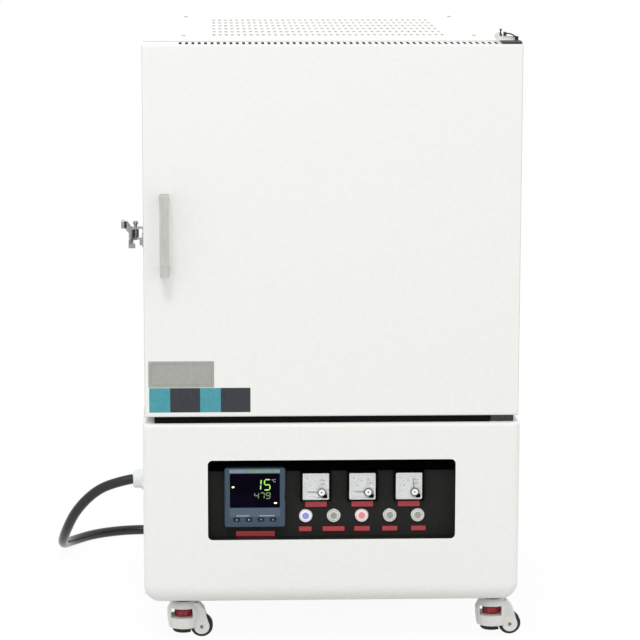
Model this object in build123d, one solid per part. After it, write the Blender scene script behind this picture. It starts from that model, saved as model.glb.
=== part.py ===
from build123d import *
from math import cos, pi, radians, sin, tan
import os

# Box muffle furnace on a control cabinet with four levelling casters.
# Sizes are in millimetres.  While it is built, X runs to the right across the front,
# Y runs back from the door's face and Z up from the floor.  At the end every piece is
# moved so that the origin is on the floor, under the middle of the outline.

# ---------------------------------------------------------------- driving dimensions
door_width = 586.0
door_height = 581.5
door_thickness = 60.0
cabinet_depth = 642.0
base_overhang = 3.5
base_height = 292.5
caster_height = 66.5
spacer_height = 11.3
bend_radius = 30.0
top_bend_radius = 6.0
corner_radius = 12.0
sheet = 1.5
chamber_width = 203.0
chamber_height = 203.0
chamber_depth = 305.0
panel_opening_width = 390.0
panel_opening_height = 128.4
panel_rise = 169.7
panel_setback = 24.0
caster_wheel_radius = 17.9
caster_trail = 29.0
cord_diameter = 17.5

# ---------------------------------------------------------------- clearances
door_gap = 6.0
sliding_gap = 0.3
running_gap = 0.05
hinge_gap = 0.5

# ---------------------------------------------------------------- places that follow
base_bottom = caster_height
base_top = base_bottom + base_height
door_bottom = base_top + spacer_height
door_top = door_bottom + door_height
casing_front = door_thickness + door_gap
casing_top = door_top + hinge_gap
casing_bottom = door_bottom
half_door = door_width / 2
half_base = half_door + base_overhang
chamber_middle = door_bottom + door_height / 2
panel_middle = base_bottom + panel_rise
panel_face = panel_setback


def span(x, y, z):
    """Block between two x values, two y values and two z values."""
    size = [pair[1] - pair[0] for pair in (x, y, z)]
    middle = [(pair[1] + pair[0]) / 2 for pair in (x, y, z)]
    return Pos(*middle) * Box(*size)


def upright(x, y, radius, z):
    """Round bar along Z between two z values."""
    return Pos(x, y, (z[0] + z[1]) / 2) * Cylinder(radius, z[1] - z[0])


def crosswise(x, z, radius, y):
    """Round bar along Y between two y values."""
    return Pos(x, (y[0] + y[1]) / 2, z) * Rot(90, 0, 0) * Cylinder(radius, y[1] - y[0])


def facing(x, z, outline, y):
    """A flat outline, seen from the front, given depth between two y values."""
    return Pos(x, y[1], z) * Rot(90, 0, 0) * extrude(outline, y[1] - y[0])


def repeated(outline, places):
    """One outline copied to many places, as a single sketch."""
    return Sketch() + [place * outline for place in places]


def ring(x, z, outer, inner, y):
    return crosswise(x, z, outer, y) - crosswise(x, z, inner, (y[0] - 1, y[1] + 1))


nodes = {}

# ================================================================ door
hinge_x = half_door - 15.0
hinge_y = 26.0
hinge_pin_radius = 5.0
hinge_pin_length = 13.0
hinge_bush_radius = 10.0
hinge_plate = 3.0
hinge_plate_x = (hinge_x - 17.5, hinge_x + 13.5)
hinge_plate_y = (3.0, 36.0)
hinge_foot_x = (hinge_x - 28.0, hinge_x + 8.0)
hinge_foot_front = 10.0
hinge_relief_y = (hinge_y + 20.0, casing_front + 4.0)
hinge_tongue = 1.5
hinge_tongue_x = (hinge_x - 12.0, hinge_x + 8.0)
door_edge_round = 3.0

vent_slot_count = 51
vent_slot_pitch = 9.74
vent_slot_width = 4.6
vent_slot_length = 44.0
vent_slot_middle_x = 9.6
vent_slot_middle_y = 28.0

plug_half = 140.0
plug_reach = 12.0
plug_chamfer = 6.0
fibre_slab_half = 205.0
fibre_slab_front = 16.0
liner_opening_half = plug_half + 1.0
gasket_half = 168.0
gasket_width = 16.0


def door_shell():
    """Outer pan: one folded sheet, with a row of vent slots in its top flange."""
    outer = span((-half_door, half_door), (0, door_thickness), (door_bottom, door_top))
    outer = fillet(outer.faces().sort_by(Axis.Y)[0].edges(), door_edge_round)
    hollow = span((-half_door + sheet, half_door - sheet), (sheet, door_thickness + 1),
                  (door_bottom + sheet, door_top - sheet))
    shell = outer - hollow
    slot_row = repeated(Rot(0, 0, 90) * SlotOverall(vent_slot_length, vent_slot_width),
                        GridLocations(vent_slot_pitch, 1, vent_slot_count, 1))
    slots = Pos(vent_slot_middle_x, vent_slot_middle_y, door_top - 2 * sheet) * extrude(slot_row, 4 * sheet)
    shell -= slots
    for low, high in ((door_bottom, door_bottom + hinge_pin_length + 3),
                      (door_top - hinge_pin_length - 3, door_top)):
        shell += upright(hinge_x, hinge_y, hinge_bush_radius, (low, high))
        shell -= upright(hinge_x, hinge_y, hinge_pin_radius + running_gap, (low - 1, high + 1))
    return shell


def door_liner():
    """Inner sheet that closes the back of the door round the insulating plug."""
    plate = span((-half_door + sheet, half_door - sheet), (door_thickness - sheet, door_thickness),
                 (door_bottom + sheet, door_top - sheet))
    opening = 2 * liner_opening_half
    stiffener = 2 * fibre_slab_half + 2 * sheet
    tray_depth = door_thickness - fibre_slab_front
    tray = facing(0, chamber_middle, Rectangle(stiffener, stiffener) - Rectangle(2 * fibre_slab_half,
                  2 * fibre_slab_half), (fibre_slab_front, fibre_slab_front + tray_depth - sheet))
    plate -= facing(0, chamber_middle, Rectangle(opening, opening), (0, 2 * door_thickness))
    return plate + tray


def door_fibre():
    """Ceramic-fibre block: a wide slab in the door and a plug that enters the throat."""
    slab = facing(0, chamber_middle, Rectangle(2 * fibre_slab_half, 2 * fibre_slab_half),
                  (fibre_slab_front, door_thickness - sheet))
    plug = facing(0, chamber_middle, Rectangle(2 * plug_half, 2 * plug_half),
                  (door_thickness - sheet, door_thickness + plug_reach))
    plug = chamfer(plug.faces().sort_by(Axis.Y)[-1].edges(), plug_chamfer)
    return slab + plug


def door_gasket():
    """Woven rope seal round the plug, on the back of the door."""
    outline = RectangleRounded(2 * gasket_half, 2 * gasket_half, gasket_width * 1.2)
    inside = 2 * (gasket_half - gasket_width)
    outline -= RectangleRounded(inside, inside, gasket_width * 0.4)
    seal = facing(0, chamber_middle, outline, (door_thickness, casing_front - sliding_gap))
    return chamfer(seal.faces().sort_by(Axis.Y)[-1].edges(), 2.0)


handle_x = -half_door + 33.0
handle_middle = door_bottom + 289.3
handle_length = 125.0
handle_width = 14.0
handle_reach = 38.0
handle_bar_depth = 10.0
handle_post_height = 13.0
handle_groove = 3.4
handle_groove_inset = 17.0


def door_handle():
    """Rectangular pull: a square post at each end and a bar between, grooved near the posts."""
    bar = span((handle_x - handle_width / 2, handle_x + handle_width / 2),
               (-handle_reach, -handle_reach + handle_bar_depth),
               (handle_middle - handle_length / 2, handle_middle + handle_length / 2))
    bar = fillet(bar.edges().filter_by(Axis.Z), 2.0)
    for side in (-1, 1):
        end = handle_middle + side * handle_length / 2
        heights = sorted((end, end - side * handle_post_height))
        post = span((handle_x - handle_width / 2, handle_x + handle_width / 2),
                    (-handle_reach + 1, 0), heights)
        bar += fillet(post.edges().filter_by(Axis.Z), 2.0)
        groove = end - side * handle_groove_inset
        bar -= span((handle_x - handle_width, handle_x + handle_width),
                    (-handle_reach - 1, -handle_reach + 1.2),
                    (groove - handle_groove / 2, groove + handle_groove / 2))
    return bar


nodes["door_shell"] = door_shell()
nodes["door_liner"] = door_liner()
nodes["door_fibre"] = door_fibre()
nodes["door_gasket"] = door_gasket()
nodes["door_handle"] = door_handle()

# ================================================================ upper casing
frame_thickness = 2.0
collar_depth = 16.0
throat_half = 146.0
casing_back = cabinet_depth
cover_x = half_door - 53.0
cover_y = (casing_front + 64.0, cabinet_depth - 17.0)
cover_thickness = 2.0
cover_rim = 22.0
cover_slot_columns = 38
cover_slot_rows = 6
cover_slot_pitch_x = 9.82
cover_slot_pitch_y = 71.3
cover_slot_width = 5.0
cover_slot_length = 33.0
cover_field_middle = cover_y[0] + 223.1
hinge_seat_back = casing_front + 40.0
hinge_tongue_back = hinge_seat_back - 6.0
louvre_width = 150.0
louvre_height = 5.0
louvre_pitch = 18.0
louvre_rows = 9
louvre_columns = 2
louvre_column_pitch = 230.0


def front_frame():
    """Front plate of the casing, with a folded collar round the throat."""
    plate = span((-half_door, half_door), (casing_front, casing_front + frame_thickness),
                 (casing_bottom, casing_top))
    throat = RectangleRounded(2 * throat_half, 2 * throat_half, 4)
    clear = 2 * (throat_half - frame_thickness)
    collar = facing(0, chamber_middle, throat, (casing_front, casing_front + collar_depth))
    passage = facing(0, chamber_middle, RectangleRounded(clear, clear, 2),
                     (casing_front - 1, casing_front + collar_depth + 1))
    return plate + collar - passage


def louvre_slots(middle_z, rows):
    """Grid of level ventilation slots through a back panel."""
    slots = repeated(Rectangle(louvre_width, louvre_height),
                     GridLocations(louvre_column_pitch, louvre_pitch, louvre_columns, rows))
    return facing(0, middle_z, slots, (casing_back - 3 * sheet, casing_back + sheet))


def upper_casing():
    """Sides, floor, back and top as one welded shell, with the seat of the hinge plate on top."""
    start = casing_front + frame_thickness
    outer = span((-half_door, half_door), (start, casing_back), (casing_bottom, casing_top))
    hollow = span((-half_door + sheet, half_door - sheet), (start - 1, casing_back - sheet),
                  (casing_bottom + sheet, casing_top - sheet))
    vent = span((-cover_x + cover_rim, cover_x - cover_rim), (cover_y[0] + cover_rim, cover_y[1] - cover_rim),
                (casing_top - 2 * sheet, casing_top + 1))
    seat = span(hinge_plate_x, (hinge_plate_y[1], hinge_seat_back), (casing_top, casing_top + hinge_plate))
    seat -= span(hinge_tongue_x, (hinge_plate_y[1], hinge_tongue_back), (casing_top, casing_top + hinge_tongue))
    return outer - hollow - vent - louvre_slots(chamber_middle + 130, louvre_rows) + seat


def top_cover():
    """Flat cover plate with long slots in a regular grid."""
    plate = span((-cover_x, cover_x), cover_y, (casing_top, casing_top + cover_thickness))
    grid = GridLocations(cover_slot_pitch_x, cover_slot_pitch_y, cover_slot_columns, cover_slot_rows)
    slots = repeated(Rectangle(cover_slot_width, cover_slot_length), grid)
    return plate - Pos(0, cover_field_middle, casing_top - 1) * extrude(slots, cover_thickness + 2)


spacer_x = half_door - 11.0
spacer_y = (78.0, cabinet_depth - 12.0)
spacer_bar = 25.0
sill_x = (-half_door + 15.0, hinge_foot_x[0] - 2.0)
sill_front = 8.0
sill_gap = 1.5


def spacer_frame():
    """Square-tube frame that lifts the casing off the cabinet, with a sill under the door."""
    ring_outer = span((-spacer_x, spacer_x), spacer_y, (base_top, casing_bottom))
    ring_inner = span((-spacer_x + spacer_bar, spacer_x - spacer_bar),
                      (spacer_y[0] + spacer_bar, spacer_y[1] - spacer_bar), (base_top - 1, casing_bottom + 1))
    sill = span(sill_x, (sill_front, spacer_y[0] + 1), (base_top, casing_bottom - sill_gap))
    return ring_outer - ring_inner + sill


def hinge_brackets():
    """Pivot plate over the door and pivot foot under it, each with its pin."""
    plate = span(hinge_plate_x, hinge_plate_y, (casing_top, casing_top + hinge_plate))
    front_corners = plate.faces().sort_by(Axis.Y)[0].edges().filter_by(Axis.Z)
    plate = fillet(front_corners, 3.0)
    plate += span(hinge_tongue_x, (hinge_plate_y[1] - 1, hinge_tongue_back), (casing_top, casing_top + hinge_tongue))
    pin_span = (casing_top - hinge_pin_length, casing_top + hinge_plate)
    top_pin = upright(hinge_x, hinge_y, hinge_pin_radius, pin_span)
    foot_top = door_bottom - hinge_gap
    foot = span(hinge_foot_x, (hinge_foot_front, spacer_y[0]), (base_top, foot_top))
    relief = span((hinge_foot_x[0] - 1, hinge_foot_x[1] + 1), hinge_relief_y,
                  (base_top - 1, foot_top - hinge_plate))
    pin_span = (foot_top - hinge_plate, foot_top + hinge_pin_length)
    low_pin = upright(hinge_x, hinge_y, hinge_pin_radius, pin_span)
    return [plate + top_pin, foot - relief + low_pin]


nodes["front_frame"] = front_frame()
nodes["upper_casing"] = upper_casing()
nodes["top_cover"] = top_cover()
nodes["spacer_frame"] = spacer_frame()
nodes["hinge_brackets"] = hinge_brackets()

# ================================================================ hot chamber
fibre_wall = 150.0
fibre_back = 166.0
roof_thickness = 100.0
chamber_front = casing_front + collar_depth
chamber_back = chamber_front + chamber_depth
chamber_floor = chamber_middle - chamber_height / 2
chamber_roof = chamber_middle + chamber_height / 2
lining_bottom = casing_bottom + sheet
lining_top = chamber_roof + roof_thickness
lining_front = casing_front + frame_thickness
lining_back = chamber_back + fibre_back
hearth_thickness = 12.0
element_radius = 3.0
terminal_radius = 6.0
element_shank_gap = 44.0
element_pitch = 92.0
elements_per_side = 3
element_x = chamber_width / 2 - 14.0
element_bottom = chamber_floor + hearth_thickness + 18.0
terminal_bottom = chamber_roof - 12.0
terminal_top = lining_top + 48.0
sleeve_radius = 11.0
sleeve_height = 16.0
probe_radius = 4.0
probe_tip = chamber_roof - 22.0
probe_head_radius = 16.0


def fibre_lining():
    """Five boards of ceramic fibre; each is a separate block."""
    half = chamber_width / 2
    side_y = (lining_front, lining_back)
    recess = facing(0, chamber_middle, Rectangle(2 * throat_half, 2 * throat_half),
                    (lining_front - 1, chamber_front))
    boards = [
        span((-half - fibre_wall, -half), side_y, (lining_bottom, lining_top)),
        span((half, half + fibre_wall), side_y, (lining_bottom, lining_top)),
        span((-half, half), side_y, (lining_bottom, chamber_floor)),
        span((-half, half), (chamber_back, lining_back), (chamber_floor, chamber_roof)),
        span((-half, half), side_y, (chamber_roof, lining_top)),
    ]
    cut = [board - recess for board in boards[:3]] + [boards[3]]
    roof = boards[4] - recess
    for x, y in terminal_places():
        roof -= upright(x, y, terminal_radius + 1.0, (chamber_roof - 1, lining_top + 1))
    middle = (chamber_front + chamber_back) / 2
    roof -= upright(0, middle, probe_radius + 1.0, (chamber_roof - 1, lining_top + 1))
    return cut + [roof]


def element_middles():
    middle = (chamber_front + chamber_back) / 2
    return [(side * element_x, middle + (number - (elements_per_side - 1) / 2) * element_pitch)
            for side in (-1, 1) for number in range(elements_per_side)]


def terminal_places():
    return [(x, y + side * element_shank_gap / 2) for x, y in element_middles() for side in (-1, 1)]


def heating_element(x, y):
    """Hairpin of molybdenum disilicide with two thick terminals."""
    bend = element_shank_gap / 2
    path = Line((x, y - bend, terminal_bottom), (x, y - bend, element_bottom + bend))
    path += ThreePointArc((x, y - bend, element_bottom + bend), (x, y, element_bottom),
                          (x, y + bend, element_bottom + bend))
    path += Line((x, y + bend, element_bottom + bend), (x, y + bend, terminal_bottom))
    start = Plane((x, y - bend, terminal_bottom), z_dir=(0, 0, -1))
    hairpin = sweep(start * Circle(element_radius), path=path)
    for side in (-1, 1):
        hairpin += upright(x, y + side * bend, terminal_radius, (terminal_bottom, terminal_top))
    return hairpin


def ceramic_fittings():
    """Hearth plate, a holder round every terminal and the thermocouple sheath."""
    half = chamber_width / 2
    pieces = [span((-half + 1, half - 1), (chamber_front + 2, chamber_back - 2),
                   (chamber_floor, chamber_floor + hearth_thickness))]
    for x, y in terminal_places():
        holder = upright(x, y, sleeve_radius, (lining_top, lining_top + sleeve_height))
        through = (lining_top - 1, lining_top + sleeve_height + 1)
        pieces.append(holder - upright(x, y, terminal_radius, through))
    middle = (chamber_front + chamber_back) / 2
    sheath = upright(0, middle, probe_radius, (probe_tip, lining_top))
    pieces.append(sheath + upright(0, middle, probe_head_radius, (lining_top, lining_top + 30)))
    return pieces


nodes["fibre_lining"] = fibre_lining()
nodes["heating_elements"] = [heating_element(x, y) for x, y in element_middles()]
nodes["ceramic_fittings"] = ceramic_fittings()

# ================================================================ control cabinet
front_depth = 70.0
front_sheet = 2.0
gland_y = cabinet_depth - 162.0
gland_z = base_bottom + 94.5
gland_bore_radius = 13.0


def lower_front():
    """Front panel folded back at the top and rolled at the bottom, with the instrument opening."""
    def bent(inset):
        body = span((-half_base + inset, half_base - inset), (inset, front_depth + inset * 4),
                    (base_bottom + inset, base_top - inset))
        front = body.faces().sort_by(Axis.Y)[0]
        body = fillet(front.edges().filter_by(Axis.Z), corner_radius - inset)
        rolls = body.faces().sort_by(Axis.Y)[0].edges().filter_by(Axis.X).sort_by(Axis.Z)
        body = fillet(rolls[0], bend_radius - inset)
        rolls = body.faces().sort_by(Axis.Y)[0].edges().filter_by(Axis.X).sort_by(Axis.Z)
        return fillet(rolls[-1], top_bend_radius - inset)
    shell = bent(0) - bent(front_sheet)
    collar_outline = RectangleRounded(panel_opening_width + 2 * front_sheet,
                                      panel_opening_height + 2 * front_sheet, 7.5 + front_sheet)
    collar = facing(0, panel_middle, collar_outline, (front_sheet / 2, panel_face))
    opening = facing(0, panel_middle, RectangleRounded(panel_opening_width, panel_opening_height, 7.5),
                     (-1, panel_face + 1))
    return shell + collar - opening


def lower_body():
    """Sides, deck, floor and back of the control cabinet."""
    outer = span((-half_base, half_base), (front_depth, cabinet_depth), (base_bottom, base_top))
    hollow = span((-half_base + sheet, half_base - sheet), (front_depth - 1, cabinet_depth - sheet),
                  (base_bottom + sheet, base_top - sheet))
    gland_hole = Pos(-half_base, gland_y, gland_z) * Rot(0, 90, 0) * Cylinder(gland_bore_radius, 4 * sheet)
    return outer - hollow - gland_hole - louvre_slots(panel_middle, 5)


nodes["lower_front"] = lower_front()
nodes["lower_body"] = lower_body()

# ---------------------------------------------------------------- instrument panel
panel_plate = 2.0
panel_lap = 9.0
controller_x = -121.0
controller_z = panel_middle + 1.8
controller_bezel = 96.0
controller_case_side = 91.0
controller_reach = 14.0
controller_depth = 105.0
window_width = 79.0
window_height = 55.0
window_rise = 11.3
window_recess = 0.8
key_count = 4
key_pitch = 19.05
key_length = 9.0
key_height = 5.2
key_drop = 35.5
key_travel = 0.6
key_depth = 2.6
meter_count = 3
meter_x = 48.9
meter_pitch = 73.6
meter_z = panel_middle + 18.3
meter_frame = 48.5
meter_body = 44.0
meter_window_width = 41.7
meter_window_height = 43.2
meter_reach = 12.0
meter_depth = 34.0
dial_depth = 5.0
glass_depth = 1.2
needle_length = 22.0
needle_drop = 9.6
needle_offset = 9.3
needle_thickness = 0.7
needle_stud_radius = 0.9
needle_rest_angles = (0.0, 0.0, 82.0)
button_count = 5
button_x = 48.4
button_pitch = 44.45
button_z = panel_middle - 30.9
button_ring_radius = 11.1
button_ring_reach = 2.6
button_barrel_radius = 9.6
button_radius = 8.2
button_depth = 26.0


def meter_middles():
    return [meter_x + (number - 1) * meter_pitch for number in range(meter_count)]


def button_middles():
    return [button_x + (number - 2) * button_pitch for number in range(button_count)]


def key_middles():
    return [controller_x + (number - 1.5) * key_pitch for number in range(key_count)]


def control_panel():
    """Recessed plate that carries every instrument."""
    plate = facing(0, panel_middle, Rectangle(panel_opening_width + 2 * panel_lap,
                   panel_opening_height + 2 * panel_lap), (panel_face, panel_face + panel_plate))
    through = (panel_face - 1, panel_face + panel_plate + 1)
    plate -= facing(controller_x, controller_z, Rectangle(controller_case_side, controller_case_side), through)
    for x in meter_middles():
        plate -= facing(x, meter_z, Rectangle(meter_body, meter_body), through)
    for x in button_middles():
        plate -= crosswise(x, button_z, button_barrel_radius, through)
    return plate


def controller_case():
    """Quarter-DIN temperature controller: bezel in front of the panel, case behind it."""
    front = panel_face - controller_reach
    bezel = facing(controller_x, controller_z, RectangleRounded(controller_bezel, controller_bezel, 4.0),
                   (front, panel_face))
    bezel = fillet(bezel.faces().sort_by(Axis.Y)[0].edges(), 1.8)
    case = facing(controller_x, controller_z, Rectangle(controller_case_side, controller_case_side),
                  (panel_face, panel_face + controller_depth))
    case = bezel + case
    window = RectangleRounded(window_width, window_height, 2.0)
    case -= facing(controller_x, controller_z + window_rise, window, (front - 1, front + window_recess))
    for x in key_middles():
        case -= facing(x, controller_z - key_drop, SlotOverall(key_length + 2 * sliding_gap,
                       key_height + 2 * sliding_gap), (front - 1, front + key_depth))
    for side in (-1, 1):
        notch = controller_x + side * controller_bezel / 2
        case -= span((notch - 1.8, notch + 1.8), (front - 1, front + 8), (controller_z - 3, controller_z + 11))
    return case


def controller_key(x):
    """Oval key that stands a millimetre out of the bezel."""
    front = panel_face - controller_reach
    key = facing(x, controller_z - key_drop, SlotOverall(key_length, key_height),
                 (front - 1.0, front + key_depth - key_travel - sliding_gap))
    return chamfer(key.faces().sort_by(Axis.Y)[0].edges(), 0.5)


def meter_case(x):
    """Square moving-coil meter: hollow frame in front of the panel, case behind it."""
    front = panel_face - meter_reach
    frame = facing(x, meter_z, RectangleRounded(meter_frame, meter_frame, 2.0), (front, panel_face))
    frame = chamfer(frame.faces().sort_by(Axis.Y)[0].edges(), 1.0)
    behind = (panel_face, panel_face + meter_depth)
    case = frame + facing(x, meter_z, Rectangle(meter_body, meter_body), behind)
    return case - facing(x, meter_z, Rectangle(meter_window_width, meter_window_height),
                         (front - 1, front + dial_depth + 2))


def meter_dial(x):
    """Scale plate with the stud that the needle turns on."""
    face = panel_face - meter_reach + dial_depth
    plate = facing(x, meter_z, Rectangle(meter_window_width, meter_window_height), (face, face + 2.0))
    return plate + crosswise(x + needle_offset, meter_z - needle_drop, needle_stud_radius, (face - 2.2, face))


def meter_glass(x):
    front = panel_face - meter_reach
    return facing(x, meter_z, Rectangle(meter_window_width, meter_window_height),
                  (front + 0.3, front + 0.3 + glass_depth))


def meter_needle(x, rest_angle):
    """Tapered pointer with a round hub and a short tail; level to the left reads zero."""
    face = panel_face - meter_reach + dial_depth
    blade = make_face(Polyline((3.6, 0.6), (-needle_length, 0.2), (-needle_length, -0.2), (3.6, -0.6),
                               close=True))
    outline = (blade + Circle(2.4)) - Circle(needle_stud_radius + running_gap)
    pointer = extrude(outline, needle_thickness)
    place = Pos(x + needle_offset, face - 0.9, meter_z - needle_drop) * Rot(0, rest_angle, 0) * Rot(90, 0, 0)
    return place * pointer


def button_ring(x):
    """Metal push-button housing: chamfered ring in front, threaded barrel behind."""
    front = panel_face - button_ring_reach
    flange = crosswise(x, button_z, button_ring_radius, (front, panel_face))
    flange = chamfer(flange.faces().sort_by(Axis.Y)[0].edges(), 0.9)
    housing = flange + crosswise(x, button_z, button_barrel_radius, (panel_face, panel_face + button_depth))
    bore = (front - 1, panel_face + button_depth - 4)
    return housing - crosswise(x, button_z, button_radius + sliding_gap, bore)


def push_button(x):
    """Slightly domed plunger that slides in the ring."""
    front = panel_face - button_ring_reach - 0.4
    plunger = crosswise(x, button_z, button_radius, (front, panel_face + 10))
    return chamfer(plunger.faces().sort_by(Axis.Y)[0].edges(), 0.7)


nodes["control_panel"] = control_panel()
nodes["controller_case"] = controller_case()
nodes["meter_cases"] = [meter_case(x) for x in meter_middles()]
nodes["meter_dials"] = [meter_dial(x) for x in meter_middles()]
nodes["meter_glasses"] = [meter_glass(x) for x in meter_middles()]
nodes["button_rings"] = [button_ring(x) for x in button_middles()]
for number, x in enumerate(key_middles(), start=1):
    nodes[f"controller_key_{number}"] = controller_key(x)
for number, x in enumerate(meter_middles(), start=1):
    nodes[f"meter_needle_{number}"] = meter_needle(x, needle_rest_angles[number - 1])
for number, x in enumerate(button_middles(), start=1):
    nodes[f"push_button_{number}"] = push_button(x)

# ================================================================ door latch
latch_z = door_bottom + 277.7
latch_pivot = (-half_door - 14.0, casing_front + 30.0)
latch_link = (-half_door - 21.0, casing_front + 22.0)
latch_pin_radius = 2.5
latch_ear = 2.5
latch_ear_radius = 6.0
latch_ear_z = (latch_z - 10.0, latch_z + 10.0)
latch_hub_z = (latch_z - 6.5, latch_z + 6.5)
latch_hook_z = (latch_z - 15.5, latch_z - 9.0)
latch_knob_z = (latch_z + 13.0, latch_z + 19.0)
latch_knob_radius = 4.0
latch_grip_x = (-half_door - 37.0, -half_door - 31.0)
latch_grip_z = (latch_z + 5.6, latch_z + 18.3)
latch_arm = 4.0
latch_hook_arm = 2.5
latch_claw_y = (34.0, 38.5)
latch_claw_reach = 8.0
keeper_y = (22.0, 52.0)
keeper_lip_y = (42.0, 45.0)
keeper_lip_reach = 6.5


def latch_base():
    """Plate on the side of the casing with two ears round the lever's knobbed pin."""
    low, high = latch_ear_z
    side = -half_door
    base = span((side - 3, side), (latch_pivot[1] - 20, latch_pivot[1] + 26), (low - 1.3, high + 1))
    ear_y = (latch_pivot[1] - latch_ear_radius, latch_pivot[1] + latch_ear_radius)
    for ear_low in (low, high - latch_ear):
        heights = (ear_low, ear_low + latch_ear)
        base += span((latch_pivot[0], side), ear_y, heights) + upright(*latch_pivot, latch_ear_radius, heights)
    knob = upright(*latch_pivot, latch_knob_radius, latch_knob_z)
    knob = fillet(knob.edges().filter_by(GeomType.CIRCLE), 1.8)
    return base + upright(*latch_pivot, latch_pin_radius, (low - 1.3, latch_knob_z[0] + 1)) + knob


def latch_lever():
    """Over-centre lever: a hub, a flat arm that rises outwards and a moulded grip at its end."""
    hub = upright(*latch_pivot, 5.2, latch_hub_z)
    outwards = Plane((*latch_pivot, latch_z), x_dir=(-20, 14, 0), z_dir=(14, 20, 0))
    rising = make_face(Polyline((3, 5), (7, 6), (17, 17), (22, 17), (22, 8), (8, -5), (3, -5), close=True))
    arm = outwards * Pos(0, 0, -latch_arm / 2) * extrude(rising, latch_arm)
    grip = span(latch_grip_x, (latch_pivot[1] + 6, latch_pivot[1] + 22), latch_grip_z)
    grip = fillet(grip.edges(), 1.5)
    middle = ((latch_pivot[0] + latch_link[0]) / 2, (latch_pivot[1] + latch_link[1]) / 2, latch_z)
    fork = Pos(*middle) * Rot(0, 0, 49) * Box(11, 6, latch_hub_z[1] - latch_hub_z[0])
    lever = hub + arm + grip + fork + upright(*latch_link, 3.6, (latch_hook_z[1] + 1, latch_hub_z[1]))
    lever -= upright(*latch_pivot, latch_pin_radius + running_gap, (latch_z - 20, latch_z + 20))
    return lever + upright(*latch_link, 1.5, (latch_hook_z[0] - 0.5, latch_hook_z[1] + 2))


def latch_hook():
    """Claw that hangs on the lever's lower pin and swings in to catch the door."""
    eye = upright(*latch_link, 4.0, latch_hook_z)
    arm = span((latch_link[0] - latch_hook_arm, latch_link[0] + latch_hook_arm),
               (latch_claw_y[0] + 2, latch_link[1]), latch_hook_z)
    claw = span((latch_link[0] - latch_hook_arm, latch_link[0] + latch_claw_reach), latch_claw_y, latch_hook_z)
    hook = eye + arm + claw
    return hook - upright(*latch_link, 1.5 + running_gap, (latch_hook_z[0] - 1, latch_hook_z[1] + 1))


def latch_keeper():
    """Small folded catch on the side of the door."""
    side = -half_door
    plate = span((side - 2, side), keeper_y, (latch_z - 12, latch_z + 11))
    lip = span((side - keeper_lip_reach, side), keeper_lip_y, (latch_z - 12, latch_z - 3))
    return plate + lip


nodes["latch_base"] = latch_base()
nodes["latch_lever"] = latch_lever()
nodes["latch_hook"] = latch_hook()
nodes["latch_keeper"] = latch_keeper()

# ================================================================ door switch
switch_y = hinge_plate_y[1] + 0.5
switch_depth = 10.0
switch_foot = casing_top + hinge_plate
switch_pivot = (hinge_x - 9.6, switch_foot + 10.0)
switch_bend = (hinge_x, switch_foot + 9.1)
switch_roller = (hinge_x + 8.0, switch_foot + 3.8)
switch_round = 6.0
switch_post = (hinge_x - 16.0, switch_foot + 15.3)


def switch_body():
    """Lever switch on the hinge seat: rounded body, ball-ended post, yoke and pivot stud."""
    along = (switch_y + 4, switch_y + 4 + switch_depth)
    middle = (along[0] + along[1]) / 2
    left = switch_post[0] - 3.5
    body = span((left, switch_roller[0]), along, (switch_foot, switch_foot + switch_round))
    body += crosswise(left, switch_foot + switch_round, switch_round, along)
    post = upright(switch_post[0], middle, 1.0, (switch_foot + 1, switch_post[1]))
    post += Pos(switch_post[0], middle, switch_post[1]) * Sphere(1.9)
    yoke = span((switch_pivot[0] - 2.0, switch_pivot[0] + 2.0), along, (switch_foot, switch_pivot[1] + 2.0))
    stud = crosswise(*switch_pivot, 1.0, (switch_y - 1, switch_y + 5))
    return body + post + yoke + stud


def switch_arm():
    """Curved actuating lever with a block at its tip."""
    path = ThreePointArc(switch_pivot, switch_bend, switch_roller)
    rail = Pos(0, switch_y + 3, 0) * Rot(90, 0, 0) * extrude(trace(path, line_width=1.9), 3.0)
    arm = rail + crosswise(*switch_pivot, 2.1, (switch_y, switch_y + 3))
    block = span((switch_roller[0] - 2.5, switch_roller[0] + 2.6), (switch_y - 2, switch_y + 3.5),
                 (switch_foot + 0.5, switch_foot + 6.0))
    return arm + block - crosswise(*switch_pivot, 1.0 + running_gap, (switch_y - 5, switch_y + 6))


nodes["switch_body"] = switch_body()
nodes["switch_arm"] = switch_arm()

# ================================================================ levelling casters
caster_left = -half_base + 61.5
caster_right = half_base - 36.5
caster_front = 60.0
caster_rear = cabinet_depth - 60.0
caster_places = {
    "front_left": (caster_left, caster_front),
    "front_right": (caster_right, caster_front),
    "rear_left": (caster_left, caster_rear),
    "rear_right": (caster_right, caster_rear),
}
caster_plate = 44.0
caster_plate_thickness = 2.0
bearing_radius = 17.0
kingpin_radius = 9.5
kingpin_bore = 6.8
housing_top = caster_height - 6.5
window_top = housing_top - 10.6
window_bottom = window_top - 15.3
housing_bottom = window_bottom - 17.2
housing_radius = 26.0
housing_shoulder_radius = 21.0
housing_top_radius = 18.0
housing_foot_radius = 23.5
window_half = 17.3
window_offset = 2.5
cheek_radius = 12.4
cheek_inner = 8.4
cheek_outer = 12.6
wheel_half = 8.0
wheel_clearance = 1.3
axle_head_radius = 3.4
hub_outer_radius = 12.5
hub_inner_radius = 6.5
hub_web_half = 5.0
thumb_radius = 14.4
thumb_z = (window_bottom + 1.9, window_top - 4.4)
stem_radius = 6.0
pad_radius = 17.5
pad_z = (housing_bottom - 8.1, housing_bottom - 0.5)
axle_radius = 3.0


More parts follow.
